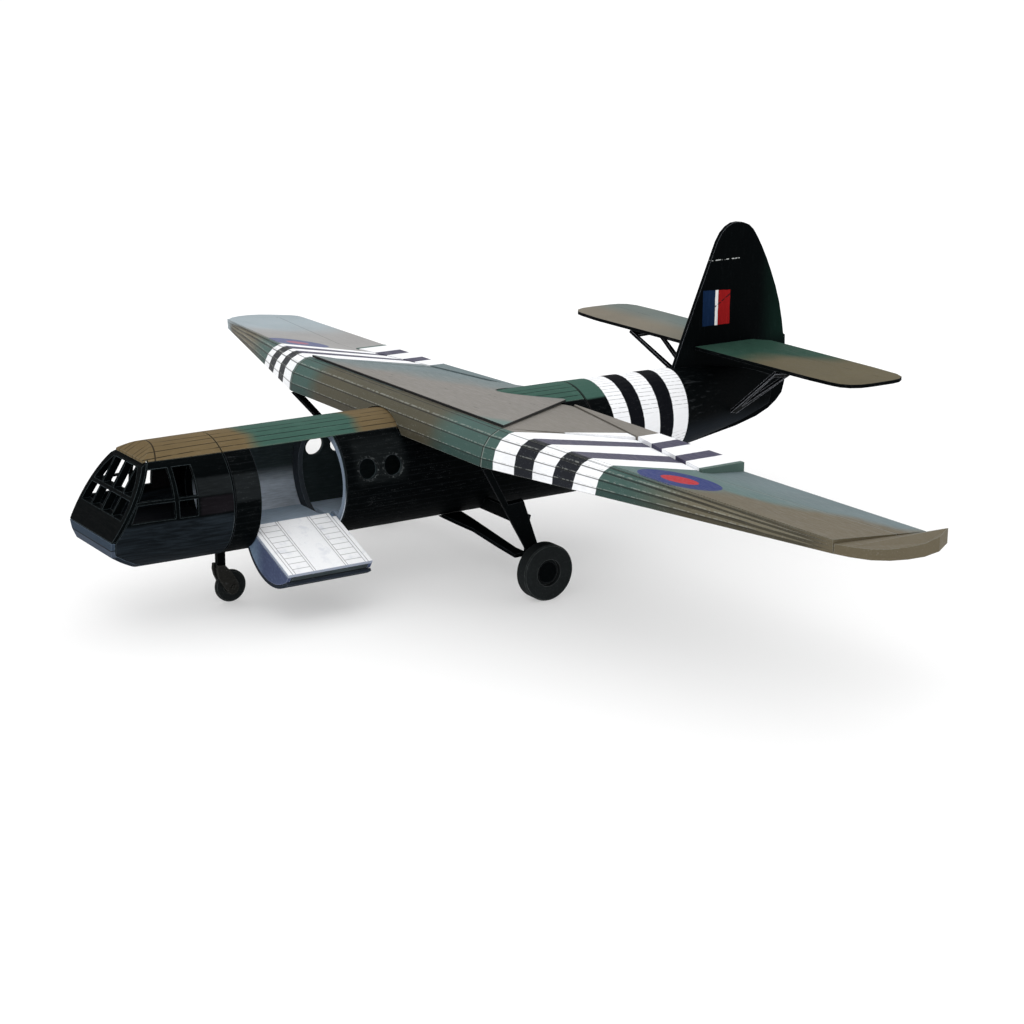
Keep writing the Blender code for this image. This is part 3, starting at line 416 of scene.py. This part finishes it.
# Side door. A white board with two engraved tracks of treads, on two D-shaped
# ends closed by a curved card skin. It hangs on a pin and lies open as a ramp.
HINGE_X, HINGE_Z = 11.9, 31.0
SLOPE_X, SLOPE_Z = 0.93606, -0.35184
DOOR_MIDDLE_Y = -89.55
TREAD_SPACING = 3.5
TREAD_INNER, TREAD_OUTER = 7.4, 15.0
BOARD_WHITE = (0.90, 0.91, 0.93, 1)
BOARD_SMUDGE = (0.60, 0.63, 0.70, 1)
BOARD_SIDE = (0.30, 0.34, 0.42, 1)
board_white, bench = start_paint("board_white")
x, y, z = bench.axes()
down_ramp = bench.sum("ADD", bench.sum("MULTIPLY", bench.sum("SUBTRACT", x, HINGE_X), SLOPE_X),
                      bench.sum("MULTIPLY", bench.sum("SUBTRACT", z, HINGE_Z), SLOPE_Z))
aside = bench.sum("ABSOLUTE", bench.sum("SUBTRACT", y, DOOR_MIDDLE_Y))
tracks = either(bench, [line_at(bench, aside, place, 0.10)
                        for place in (6.4, TREAD_INNER, TREAD_OUTER, 16.3)])
treads = lines_every(bench, down_ramp, TREAD_SPACING, 0.10)
on_track = bench.sum("MULTIPLY", bench.sum("GREATER_THAN", aside, TREAD_INNER),
                     bench.sum("LESS_THAN", aside, TREAD_OUTER))
lines = bench.sum("MAXIMUM", tracks, bench.sum("MULTIPLY", treads, on_track))
on_top = bench.ramp(bench.facing_up(), 0.80, 0.90)
smudges = bench.ramp(bench.noise(0.22, 4.0), 0.52, 0.72, 0.0, 0.45)
colour = bench.mix(smudges, BOARD_WHITE, BOARD_SMUDGE)
colour = bench.mix(on_top, BOARD_SIDE, colour)
brush_on(bench, colour, lines=bench.sum("MULTIPLY", lines, on_top), patchiness=0.10, dust_and_glints=0.25,
         edge=(0.42, 0.45, 0.52, 1), line_share=0.62)
give(board_white, "door_board")

# Door ends: pale by the hull, darker towards the free edge
CAP_PALE = (0.150, 0.215, 0.305, 1)
CAP_DARK = (0.064, 0.082, 0.150, 1)
door_blue, bench = start_paint("door_blue_grey")
x, y, z = bench.axes()
colour = bench.mix(bench.ramp(x, 13.0, 24.0), CAP_PALE, CAP_DARK)
brush_on(bench, colour, strokes=(0.6, 1.0, 0.6), patchiness=0.6, dust_and_glints=0.12, edge=(0.33, 0.37, 0.46, 1))
give(door_blue, "door_cap_front", "door_cap_rear")
STRIP_GREY = (0.036, 0.046, 0.050, 1)
door_strip, bench = start_paint("door_strip")
brush_on(bench, STRIP_GREY, patchiness=0.8, dust_and_glints=0.15, edge=(0.13, 0.15, 0.17, 1))
give(door_strip, "door_edge_strip")
SKIN_BLUE = (0.020, 0.026, 0.036, 1)
door_skin_blue, bench = start_paint("door_skin_blue")
brush_on(bench, SKIN_BLUE, patchiness=0.8, edge=(0.08, 0.09, 0.11, 1))
give(door_skin_blue, "door_skin")

# Rear hull. A tapering card tube behind the wing, green over black ahead of
# five hand-painted stripes, with fine broken lines scored along the white.
STRIPE_WHITE = (0.86, 0.87, 0.89, 1)
STRIPE_BLACK = (0.0045, 0.0050, 0.0070, 1)
REAR_WHITE_STRIPES = ((59.3, 68.0), (75.9, 85.0), (93.2, 103.0))
REAR_JOINT_Y = 48.7
REAR_MIDDLE_Z = 50.5
REAR_LINES_PER_RADIAN, REAR_LINE_SPACING = 9.5, 2.2
rear_paint, bench = start_paint("rear_paint")
x, y, z = bench.axes()
colour = bench.mix(bench.ramp(z, 63.8, 64.8), NIGHT_BLACK, GREEN)
white = either(bench, [band(bench, y, start, end) for start, end in REAR_WHITE_STRIPES])
between_outer = band(bench, y, REAR_WHITE_STRIPES[0][1], REAR_WHITE_STRIPES[-1][0])
colour = bench.mix(between_outer, colour, STRIPE_BLACK)
colour = bench.mix(white, colour, STRIPE_WHITE)
around = bench.sum("ARCTAN2", bench.sum("SUBTRACT", z, REAR_MIDDLE_Z), bench.sum("ABSOLUTE", x))
between = bench.sum("SUBTRACT", bench.sum("FRACT", bench.sum(
    "MULTIPLY", around, REAR_LINES_PER_RADIAN)), 0.5)
score = line_at(bench, bench.sum("MULTIPLY", between, REAR_LINE_SPACING), 0.0, 0.08)
upper = bench.ramp(bench.sum("ABSOLUTE", bench.sum("ADD", around, 0.05)), 0.28, 0.36)
broken = bench.ramp(bench.noise(0.5, 2.0), 0.34, 0.5, 0.15, 0.8)
lines = bench.sum("MULTIPLY", bench.sum("MULTIPLY", score, upper), bench.sum("MULTIPLY", broken, white))
lines = bench.sum("MAXIMUM", lines, line_at(bench, y, REAR_JOINT_Y, 0.45))
brush_on(bench, colour, lines=lines, patchiness=0.12, dust_and_glints=0.05, edge=(0.3, 0.32, 0.34, 1),
         edge_share=0.4, line_share=0.8)
give(rear_paint, "rear_hull")

# Tail cone. Two half shells of scored card either side of the fin, black and
# rubbed grey along the bottom, and two cut frames that brace the tailplanes.
CONE_LOW_GREY = (0.0085, 0.0115, 0.0155, 1)
CONE_SCRATCH_GREY = (0.055, 0.06, 0.065, 1)
cone_paint, bench = start_paint("cone_paint")
x, y, z = bench.axes()
colour = bench.mix(bench.ramp(z, 50.0, 40.0), NIGHT_BLACK, CONE_LOW_GREY)
scratched = bench.ramp(bench.noise(0.9, 4.0, (1.0, 0.10, 1.0)), 0.54, 0.76, 0.0, 0.35)
near_front = bench.sum("MULTIPLY", bench.ramp(y, 128.0, 112.0), bench.ramp(z, 44.0, 54.0))
colour = bench.mix(bench.sum("MULTIPLY", scratched, near_front), colour, CONE_SCRATCH_GREY)
brush_on(bench, colour, strokes=(1.0, 0.15, 1.0), patchiness=0.9, edge=(0.045, 0.05, 0.055, 1))
give(cone_paint, "tail_cone_port", "tail_cone_starboard")
strut_paint, bench = start_paint("strut_paint")
brush_on(bench, NIGHT_BLACK, strokes=(1.0, 1.0, 0.3), patchiness=0.8, edge=(0.27, 0.28, 0.31, 1),
         edge_share=1.0, reach=0.0006)
give(strut_paint, "tail_strut_port", "tail_strut_starboard")

# Fin. A plate of thin board painted black, with a flash of three bars on each
# side that the brush and the cutter have scratched.
FIN_GREEN_SHEEN = (0.0040, 0.0130, 0.0100, 1)
FLASH_FRONT_Y, FLASH_WHITE_Y, FLASH_RED_Y, FLASH_REAR_Y = 119.8, 126.6, 128.2, 134.8
FLASH_LOW_Z = 85.6
FLASH_BLUE = (0.006, 0.018, 0.052, 1)
FLASH_WHITE = (0.80, 0.80, 0.80, 1)
FLASH_RED = (0.27, 0.010, 0.011, 1)
FLASH_CUT = (0.02, 0.008, 0.01, 1)
DASH_Z = 114.3
DASH_WHITE = (0.55, 0.57, 0.56, 1)
fin_paint, bench = start_paint("fin_paint")
x, y, z = bench.axes()
sheen = bench.sum("MULTIPLY", bench.ramp(y, 150.0, 164.0), bench.ramp(z, 70.0, 82.0))
colour = bench.mix(sheen, NIGHT_BLACK, FIN_GREEN_SHEEN)
tall = band(bench, z, FLASH_LOW_Z, bench.slant(y, FLASH_FRONT_Y, 101.5, -0.059))
for start, end, bar_colour in ((FLASH_FRONT_Y, FLASH_WHITE_Y, FLASH_BLUE),
                               (FLASH_WHITE_Y, FLASH_RED_Y, FLASH_WHITE),
                               (FLASH_RED_Y, FLASH_REAR_Y, FLASH_RED)):
    bar = bench.sum("MULTIPLY", band(bench, y, start, end), tall)
    colour = bench.mix(bar, colour, bar_colour)
# A slanting cut through the white and red bars
cut = line_at(bench, z, bench.slant(y, 127.0, 94.0, 0.62), 0.35)
cut = bench.sum("MULTIPLY", cut, bench.ramp(bench.noise(0.9, 3.0, (1.0, 0.5, 1.0)), 0.42, 0.52))
on_bars = bench.sum("MULTIPLY", tall, band(bench, y, FLASH_WHITE_Y, FLASH_REAR_Y))
colour = bench.mix(bench.sum("MULTIPLY", cut, on_bars), colour, FLASH_CUT)
# A broken white line above the flash
dash = bench.sum("MULTIPLY", line_at(bench, z, DASH_Z, 0.16), band(bench, y, 123.6, 139.5))
dash = bench.sum("MULTIPLY", dash, bench.ramp(bench.noise(0.55, 1.0), 0.42, 0.50))
colour = bench.mix(dash, colour, DASH_WHITE)
brush_on(bench, colour, strokes=(1.0, 1.0, 0.12), patchiness=0.6, edge=(0.16, 0.17, 0.19, 1))
give(fin_paint, "fin")

# Tailplanes. Two plates of thin board slotted to the fin, green near it and
# tan outboard above, black below and round the cut edges.
TAIL_GREEN = (0.024, 0.060, 0.044, 1)
TAIL_TAN = (0.110, 0.095, 0.060, 1)
TAIL_SHEEN_TAN = (0.205, 0.185, 0.150, 1)
TAIL_SHEEN_TEAL = (0.150, 0.185, 0.180, 1)
tailplane_paint, bench = start_paint("tailplane_paint")
x, y, z = bench.axes()
topside = bench.ramp(bench.facing_up(), 0.5, 0.7)
span = bench.sum("ABSOLUTE", x)
reach = bench.sum("ADD", span, bench.drift(0.05, 2.0, 8.0))
reach = bench.sum("SUBTRACT", reach, bench.ramp(y, 132.0, 150.0, 0.0, 22.0))
camouflage = bench.mix(bench.ramp(reach, 22.0, 46.0), TAIL_GREEN, TAIL_TAN)
# Painted sheen: the starboard tailplane's top is paler, greyed tan ahead and teal aft
far_side = bench.ramp(x, -4.0, -12.0)
far_sheen = bench.mix(bench.ramp(y, 128.0, 146.0), TAIL_SHEEN_TAN, TAIL_SHEEN_TEAL)
camouflage = bench.mix(bench.sum("MULTIPLY", far_side, 0.8), camouflage, far_sheen)
colour = bench.mix(topside, NIGHT_BLACK, camouflage)
# The elevator's scored line, a little further aft towards the tip
seam = line_at(bench, y, bench.sum("MULTIPLY_ADD", span, 0.03, 140.0), 0.12)
seam = bench.sum("MULTIPLY", seam, bench.ramp(bench.noise(0.2, 2.0), 0.40, 0.55))
brush_on(bench, colour, lines=bench.sum("MULTIPLY", seam, topside), strokes=(0.12, 1.0, 1.0), dust_and_glints=0.08,
         edge=(0.030, 0.032, 0.034, 1), line_share=0.45)
give(tailplane_paint, "tailplane_port", "tailplane_starboard")

# Wing. A centre box and two outer panels of card folded round a scored leading
# edge, with flaps and glued-on tips: brown and green by hand, with five
# stripes and a two-colour disc on each side.
WING_BROWN = (0.112, 0.093, 0.058, 1)
WING_GREEN = (0.084, 0.142, 0.136, 1)
FRONT_GREEN = (0.050, 0.098, 0.086, 1)
FRONT_BROWN_INNER = (0.074, 0.068, 0.044, 1)
FRONT_BROWN_OUTER = (0.150, 0.134, 0.092, 1)
SHADED_GREEN = (0.024, 0.050, 0.044, 1)
SHADED_BROWN = (0.052, 0.046, 0.030, 1)
# Brown and green greyed by a painted sheen of light on the tops, paler still on the starboard wing
SHEEN_BROWN = (0.172, 0.158, 0.138, 1)
SHEEN_TEAL = (0.118, 0.160, 0.170, 1)
FAR_SHEEN_BROWN = (0.285, 0.280, 0.275, 1)
FAR_SHEEN_TEAL = (0.290, 0.345, 0.375, 1)
RUBBED_GREY = (0.34, 0.36, 0.33, 1)
# The dark stripes: lightened by a painted sheen on the top, near black on the leading edge
STRIPE_DARK_SHEEN_TOP = (0.052, 0.049, 0.088, 1)
STRIPE_DARK_FRONT = (0.0080, 0.0095, 0.0140, 1)

# The outer panels: where they join the centre box, how far they reach, and
# where their flap joint is
JOINT_X, PANEL_REACH = 75.4, 148.7
FLAP_JOINT_Y = 30.0

# The edges of the five stripes, from the middle of the wing out: along the
# bottom of the leading edge, the ridge, the flap joint and the flap
PORT_STRIPES = ((81.5, 81.0, 68.3, 76.7), (91.5, 90.6, 80.1, 88.4), (99.9, 99.3, 88.0, 97.1),
                (108.9, 109.2, 103.0, 108.3), (117.9, 119.0, 113.9, 116.7), (128.0, 129.0, 125.1, 129.6))
STARBOARD_STRIPES = ((78.2, 78.6, 84.5, 79.0), (92.5, 90.5, 93.5, 89.3), (102.4, 99.5, 99.0, 97.0),
                     (113.6, 106.5, 108.5, 108.0), (123.4, 116.5, 112.5, 116.0),
                     (133.0, 124.5, 119.0, 129.6))
STRIPE_COLOURS = ("white", "dark", "white", "dark", "white")
# The heights of the leading edge's folds, at the panel joint and at the tip
FOLDS = ((65.0, 60.3), (69.4, 61.6), (73.0, 62.8))
RUBBED_ABOVE_FOLD = 0.42
# The discs: the middle, then the radius and colour of the outer and inner circle
PORT_DISC = ((145.8, -3.3), (15.3, (0.008, 0.022, 0.135, 1)), (6.9, (0.38, 0.006, 0.014, 1)))
STARBOARD_DISC = ((-135.0, -8.0), (14.2, (0.085, 0.100, 0.200, 1)), (5.2, (0.30, 0.11, 0.16, 1)))


class WingPlaces:
    """Places on the wing that its paints share, as node values."""

    def __init__(self, bench):
        self.bench = bench
        self.x, self.y, self.z = bench.axes()
        self.span = bench.sum("ABSOLUTE", self.x)
        out = bench.sum("DIVIDE", bench.sum("SUBTRACT", self.span, JOINT_X), PANEL_REACH)
        self.out = bench.sum("MAXIMUM", out, 0.0)
        self.ridge_y = self.outward(-32.4, 32.5)
        ridge_z = self.outward(75.2, -11.0)
        low_z = self.outward(61.9, -2.7)
        # 1 on the part of the card that is folded round the leading edge
        self.wrapped = bench.ramp(bench.sum("SUBTRACT", self.ridge_y, self.y), -0.1, 0.6)
        drop = bench.sum("DIVIDE", bench.sum("SUBTRACT", ridge_z, self.z),
                         bench.sum("SUBTRACT", ridge_z, low_z))
        drop = bench.sum("MINIMUM", bench.sum("MAXIMUM", drop, 0.0), 1.0)
        self.drop = bench.sum("MULTIPLY", drop, self.wrapped)
        aft = bench.sum("DIVIDE", bench.sum("SUBTRACT", self.y, self.ridge_y),
                        bench.sum("SUBTRACT", FLAP_JOINT_Y, self.ridge_y))
        self.aft = bench.sum("MAXIMUM", aft, 0.0)
        self.port = bench.sum("GREATER_THAN", self.x, 0.0)

    def outward(self, at_joint, change):
        """A measure that changes evenly from the panel joint to the tip."""
        return self.bench.sum("MULTIPLY_ADD", self.out, change, at_joint)


def stripe_borders(bench, at, on_flap):
    """The distance out of each border between stripes, at any point of a side."""
    borders = []
    for port, starboard in zip(PORT_STRIPES, STARBOARD_STRIPES):
        sides = []
        for low, ridge, joint, flap in (port, starboard):
            if on_flap:
                sides.append(flap)
                continue
            place = bench.sum("MULTIPLY_ADD", at.drop, low - ridge, ridge)
            sides.append(bench.sum("MULTIPLY_ADD", at.aft, joint - ridge, place))
        borders.append(bench.sum("ADD", bench.sum("MULTIPLY", at.port, sides[0]),
                                 bench.sum("MULTIPLY", bench.sum("SUBTRACT", 1.0, at.port), sides[1])))
    return borders


def add_stripes(bench, at, colour, on_flap=False):
    """Paints the five stripes over a colour."""
    # On the top of the wing the dark stripes carry a painted sheen
    dark = bench.mix(at.wrapped, STRIPE_DARK_SHEEN_TOP, STRIPE_DARK_FRONT)
    borders = stripe_borders(bench, at, on_flap)
    for index, kind in enumerate(STRIPE_COLOURS):
        stripe = band(bench, at.span, borders[index], borders[index + 1])
        colour = bench.mix(stripe, colour, STRIPE_WHITE if kind == "white" else dark)
    return colour


def add_disc(bench, at, colour, middle, outer, inner):
    """Paints one circle in another, each given as radius and colour, behind the ridge."""
    ring = bench.from_middle(bench.sum("SUBTRACT", at.x, middle[0]),
                             bench.sum("SUBTRACT", at.y, middle[1]))
    on_top = bench.sum("SUBTRACT", 1.0, at.wrapped)
    for radius, circle_colour in (outer, inner):
        circle = bench.ramp(ring, radius + 0.15, radius - 0.15)
        colour = bench.mix(bench.sum("MULTIPLY", circle, on_top), colour, circle_colour)
    return colour


def underside(bench):
    """1 where the surface faces down."""
    return bench.ramp(bench.facing_up(), -0.15, -0.35)


def wing_camouflage(bench, at):
    """Soft-edged green on brown, black underneath."""
    drift = bench.drift(0.05, 3.0, 8.0)
    moved = bench.sum("ADD", at.x, drift)
    # Leading edge: green, brown over the hull, green, then brown outside the disc
    front_green = bench.sum("MAXIMUM", bench.ramp(moved, 32.0, 54.0), bench.ramp(moved, -48.0, -64.0))
    outer = bench.ramp(at.span, 138.0, 170.0)
    front_green = bench.sum("MULTIPLY", front_green, bench.sum("SUBTRACT", 1.0, outer))
    front_brown = bench.mix(bench.ramp(at.span, 100.0, 180.0), FRONT_BROWN_INNER, FRONT_BROWN_OUTER)
    front = bench.mix(front_green, front_brown, FRONT_GREEN)
    shaded = bench.mix(front_green, SHADED_BROWN, SHADED_GREEN)
    front = bench.mix(bench.ramp(bench.facing_up(), 0.35, 0.05), front, shaded)
    # Port top: green round the disc and in a strip that narrows towards the tip
    rear_line = bench.slant(at.span, 150.0, 0.0, 0.50)
    strip = bench.ramp(bench.sum("SUBTRACT", bench.sum("ADD", at.y, drift), rear_line), -3.0, 8.0)
    near_stripes = bench.ramp(bench.sum("ADD", at.span, drift), 170.0, 150.0)
    port_green = bench.sum("MAXIMUM", strip, near_stripes)
    port_green = bench.sum("MULTIPLY", port_green, bench.ramp(at.span, 100.0, 124.0))
    # Painted sheen: the brown greyed inboard, and the green a pale teal towards the rear edge
    brown = bench.mix(bench.ramp(at.span, 90.0, 130.0), SHEEN_BROWN, WING_BROWN)
    green = bench.mix(bench.ramp(at.y, 10.0, 34.0), WING_GREEN, SHEEN_TEAL)
    port_top = bench.mix(port_green, brown, green)
    # Starboard top: a painted sheen over it all, pale teal at the tip and inboard, greyed brown between
    tip_green = bench.ramp(bench.sum("ADD", at.span, bench.sum("MULTIPLY", drift, 2.0)), 165.0, 205.0)
    far_top = bench.mix(tip_green, FAR_SHEEN_BROWN, FAR_SHEEN_TEAL)
    inboard = bench.ramp(bench.sum("ADD", at.span, drift), 90.0, 76.0)
    far_top = bench.mix(inboard, far_top, SHEEN_TEAL)
    top = bench.mix(at.port, far_top, port_top)
    over = bench.mix(at.wrapped, top, front)
    return bench.mix(underside(bench), over, NIGHT_BLACK)


def fold_lines(bench, at):
    """The dark scored folds of the leading edge, and the rubbed line above each."""
    above_fold = [bench.sum("SUBTRACT", at.z, at.outward(joint_z, tip_z - joint_z))
                  for joint_z, tip_z in FOLDS]
    folds = either(bench, [line_at(bench, off, 0.0, 0.13) for off in above_fold])
    rubbed = either(bench, [line_at(bench, off, RUBBED_ABOVE_FOLD, 0.12) for off in above_fold])
    low = bench.ramp(bench.sum("SUBTRACT", at.ridge_y, at.y), 1.6, 2.2)
    # The highest fold, just ahead of the ridge, and the panel joint round the leading edge
    highest = line_at(bench, at.y, at.outward(-34.9, 35.0), 0.16)
    highest = bench.sum("MULTIPLY", highest, bench.ramp(bench.facing_up(), 0.0, 0.3))
    joint = bench.sum("MULTIPLY", line_at(bench, at.span, JOINT_X, 0.22), at.wrapped)
    lines = either(bench, [bench.sum("MULTIPLY", folds, low), highest, joint])
    broken = bench.ramp(bench.noise(0.8, 3.0), 0.40, 0.56)
    return lines, bench.sum("MULTIPLY", bench.sum("MULTIPLY", rubbed, low), broken)


wing_paint, bench = start_paint("wing_paint")
at = WingPlaces(bench)
colour = wing_camouflage(bench, at)
for disc in (PORT_DISC, STARBOARD_DISC):
    colour = add_disc(bench, at, colour, *disc)
colour = add_stripes(bench, at, colour)
colour = bench.mix(underside(bench), colour, NIGHT_BLACK)
# The aileron's scored line, with a rubbed one ahead of it
from_hinge = bench.sum("SUBTRACT", at.y, bench.slant(at.span, 132.0, 18.5, 0.113))
outboard = bench.sum("MULTIPLY", bench.ramp(at.span, 129.0, 131.0), bench.ramp(at.span, 229.0, 227.0))
ahead_of_hinge = bench.sum("MULTIPLY", line_at(bench, from_hinge, -0.35, 0.15), outboard)
beside_joint = bench.sum("MULTIPLY", line_at(bench, at.span, JOINT_X + 0.5, 0.18), at.wrapped)
folds, rubbed = fold_lines(bench, at)
pale = either(bench, [ahead_of_hinge, beside_joint, rubbed])
colour = bench.mix(bench.sum("MULTIPLY", pale, 0.4), colour, RUBBED_GREY)
hinge = bench.sum("MULTIPLY", line_at(bench, from_hinge, 0.0, 0.16), outboard)
lines = bench.sum("MAXIMUM", bench.sum("MULTIPLY", hinge, 0.7), folds)
# The wing's pale specks are partly dust and partly painted glints of light
brush_on(bench, colour, lines=lines, strokes=(0.12, 1.0, 1.0), patchiness=0.28, dust_and_glints=0.15,
         edge=(0.27, 0.28, 0.25, 1), edge_share=0.55, gloss=0.16)
give(wing_paint, "wing_centre_panel", "wing_outer_port", "wing_outer_starboard",
     "wing_tip_port", "wing_tip_starboard")

# Flaps: brown to port and teal to starboard, both paled by a painted sheen, with the stripes and a green
# outer end
FLAP_GREEN = (0.075, 0.125, 0.110, 1)
flap_paint, bench = start_paint("flap_paint")
at = WingPlaces(bench)
colour = bench.mix(bench.ramp(at.x, -4.0, 6.0), SHEEN_TEAL, SHEEN_BROWN)
colour = add_stripes(bench, at, colour, on_flap=True)
colour = bench.mix(bench.ramp(at.span, 127.0, 127.6), colour, FLAP_GREEN)
colour = bench.mix(underside(bench), colour, NIGHT_BLACK)
brush_on(bench, colour, strokes=(0.12, 1.0, 1.0), patchiness=0.2, dust_and_glints=0.06, edge=(0.20, 0.20, 0.19, 1),
         edge_share=0.5, gloss=0.16)
give(flap_paint, "wing_flap_port", "wing_flap_starboard")

# Centre board. A flat board on the middle of the wing, brown greyed by a painted
# sheen ahead and a teal painted sheen aft to starboard, with its cut edges left black.
BOARD_SHEEN_BROWN = (0.180, 0.168, 0.152, 1)
BOARD_SHEEN_TEAL = (0.128, 0.165, 0.170, 1)
BOARD_GREEN = (0.100, 0.160, 0.145, 1)
BOARD_MARK = (0.03, 0.03, 0.03, 1)
BOARD_EDGE = (0.010, 0.010, 0.010, 1)
board_paint, bench = start_paint("board_paint")
x, y, z = bench.axes()
aslant = bench.sum("SUBTRACT", bench.sum("MULTIPLY_ADD", x, -0.55, bench.drift(0.06, 3.0, 7.0)),
                   bench.sum("MULTIPLY", y, -0.55))
teal = bench.ramp(aslant, 4.0, 24.0)
near_joint = bench.ramp(bench.sum("SUBTRACT", x, y), 84.0, 98.0)
# Painted sheen: greyed brown ahead, teal aft to starboard
colour = bench.mix(teal, BOARD_SHEEN_BROWN, BOARD_SHEEN_TEAL)
colour = bench.mix(near_joint, colour, BOARD_GREEN)
marks = bench.ramp(bench.noise(0.42, 2.0, (0.35, 1.0, 1.0)), 0.70, 0.74, 0.0, 0.7)
colour = bench.mix(marks, colour, BOARD_MARK)
colour = bench.mix(bench.ramp(bench.facing_up(), 0.7, 0.5), colour, BOARD_EDGE)
brush_on(bench, colour, strokes=(0.12, 1.0, 1.0), patchiness=0.18, dust_and_glints=0.07,
         edge=(0.012, 0.013, 0.013, 1), edge_share=0.9, reach=0.0002, gloss=0.16)
give(board_paint, "wing_centre_board")

# Landing gear. Laser-cut board legs, struts and wheels, painted black and
# dry-brushed with grey along their edges. The wheels turn on short rods.
gear_black, bench = start_paint("gear_black")
brush_on(bench, NIGHT_BLACK, strokes=(1.0, 1.0, 0.3), patchiness=0.9, edge=(0.045, 0.050, 0.055, 1))
give(gear_black, "gear_leg_port", "gear_leg_starboard", "gear_front_strut_port",
     "gear_front_strut_starboard", "gear_rear_strut_port", "gear_rear_strut_starboard", "nose_strut",
     "main_axle_port", "main_axle_starboard")
WHEEL_GREY = (0.0115, 0.0135, 0.0140, 1)
wheel_grey, bench = start_paint("wheel_grey")
brush_on(bench, WHEEL_GREY, strokes=(1.0, 1.0, 1.0), patchiness=0.9, dust_and_glints=0.05,
         edge=(0.105, 0.115, 0.115, 1), reach=0.0004)
give(wheel_grey, "main_wheel_port", "main_wheel_starboard", "nose_wheel")
FORK_GREY = (0.0175, 0.0175, 0.0160, 1)
fork_grey, bench = start_paint("fork_grey")
brush_on(bench, FORK_GREY, strokes=(1.0, 0.4, 1.0), patchiness=0.9, dust_and_glints=0.08,
         edge=(0.07, 0.07, 0.065, 1))
give(fork_grey, "nose_fork_port", "nose_fork_starboard", "nose_axle")
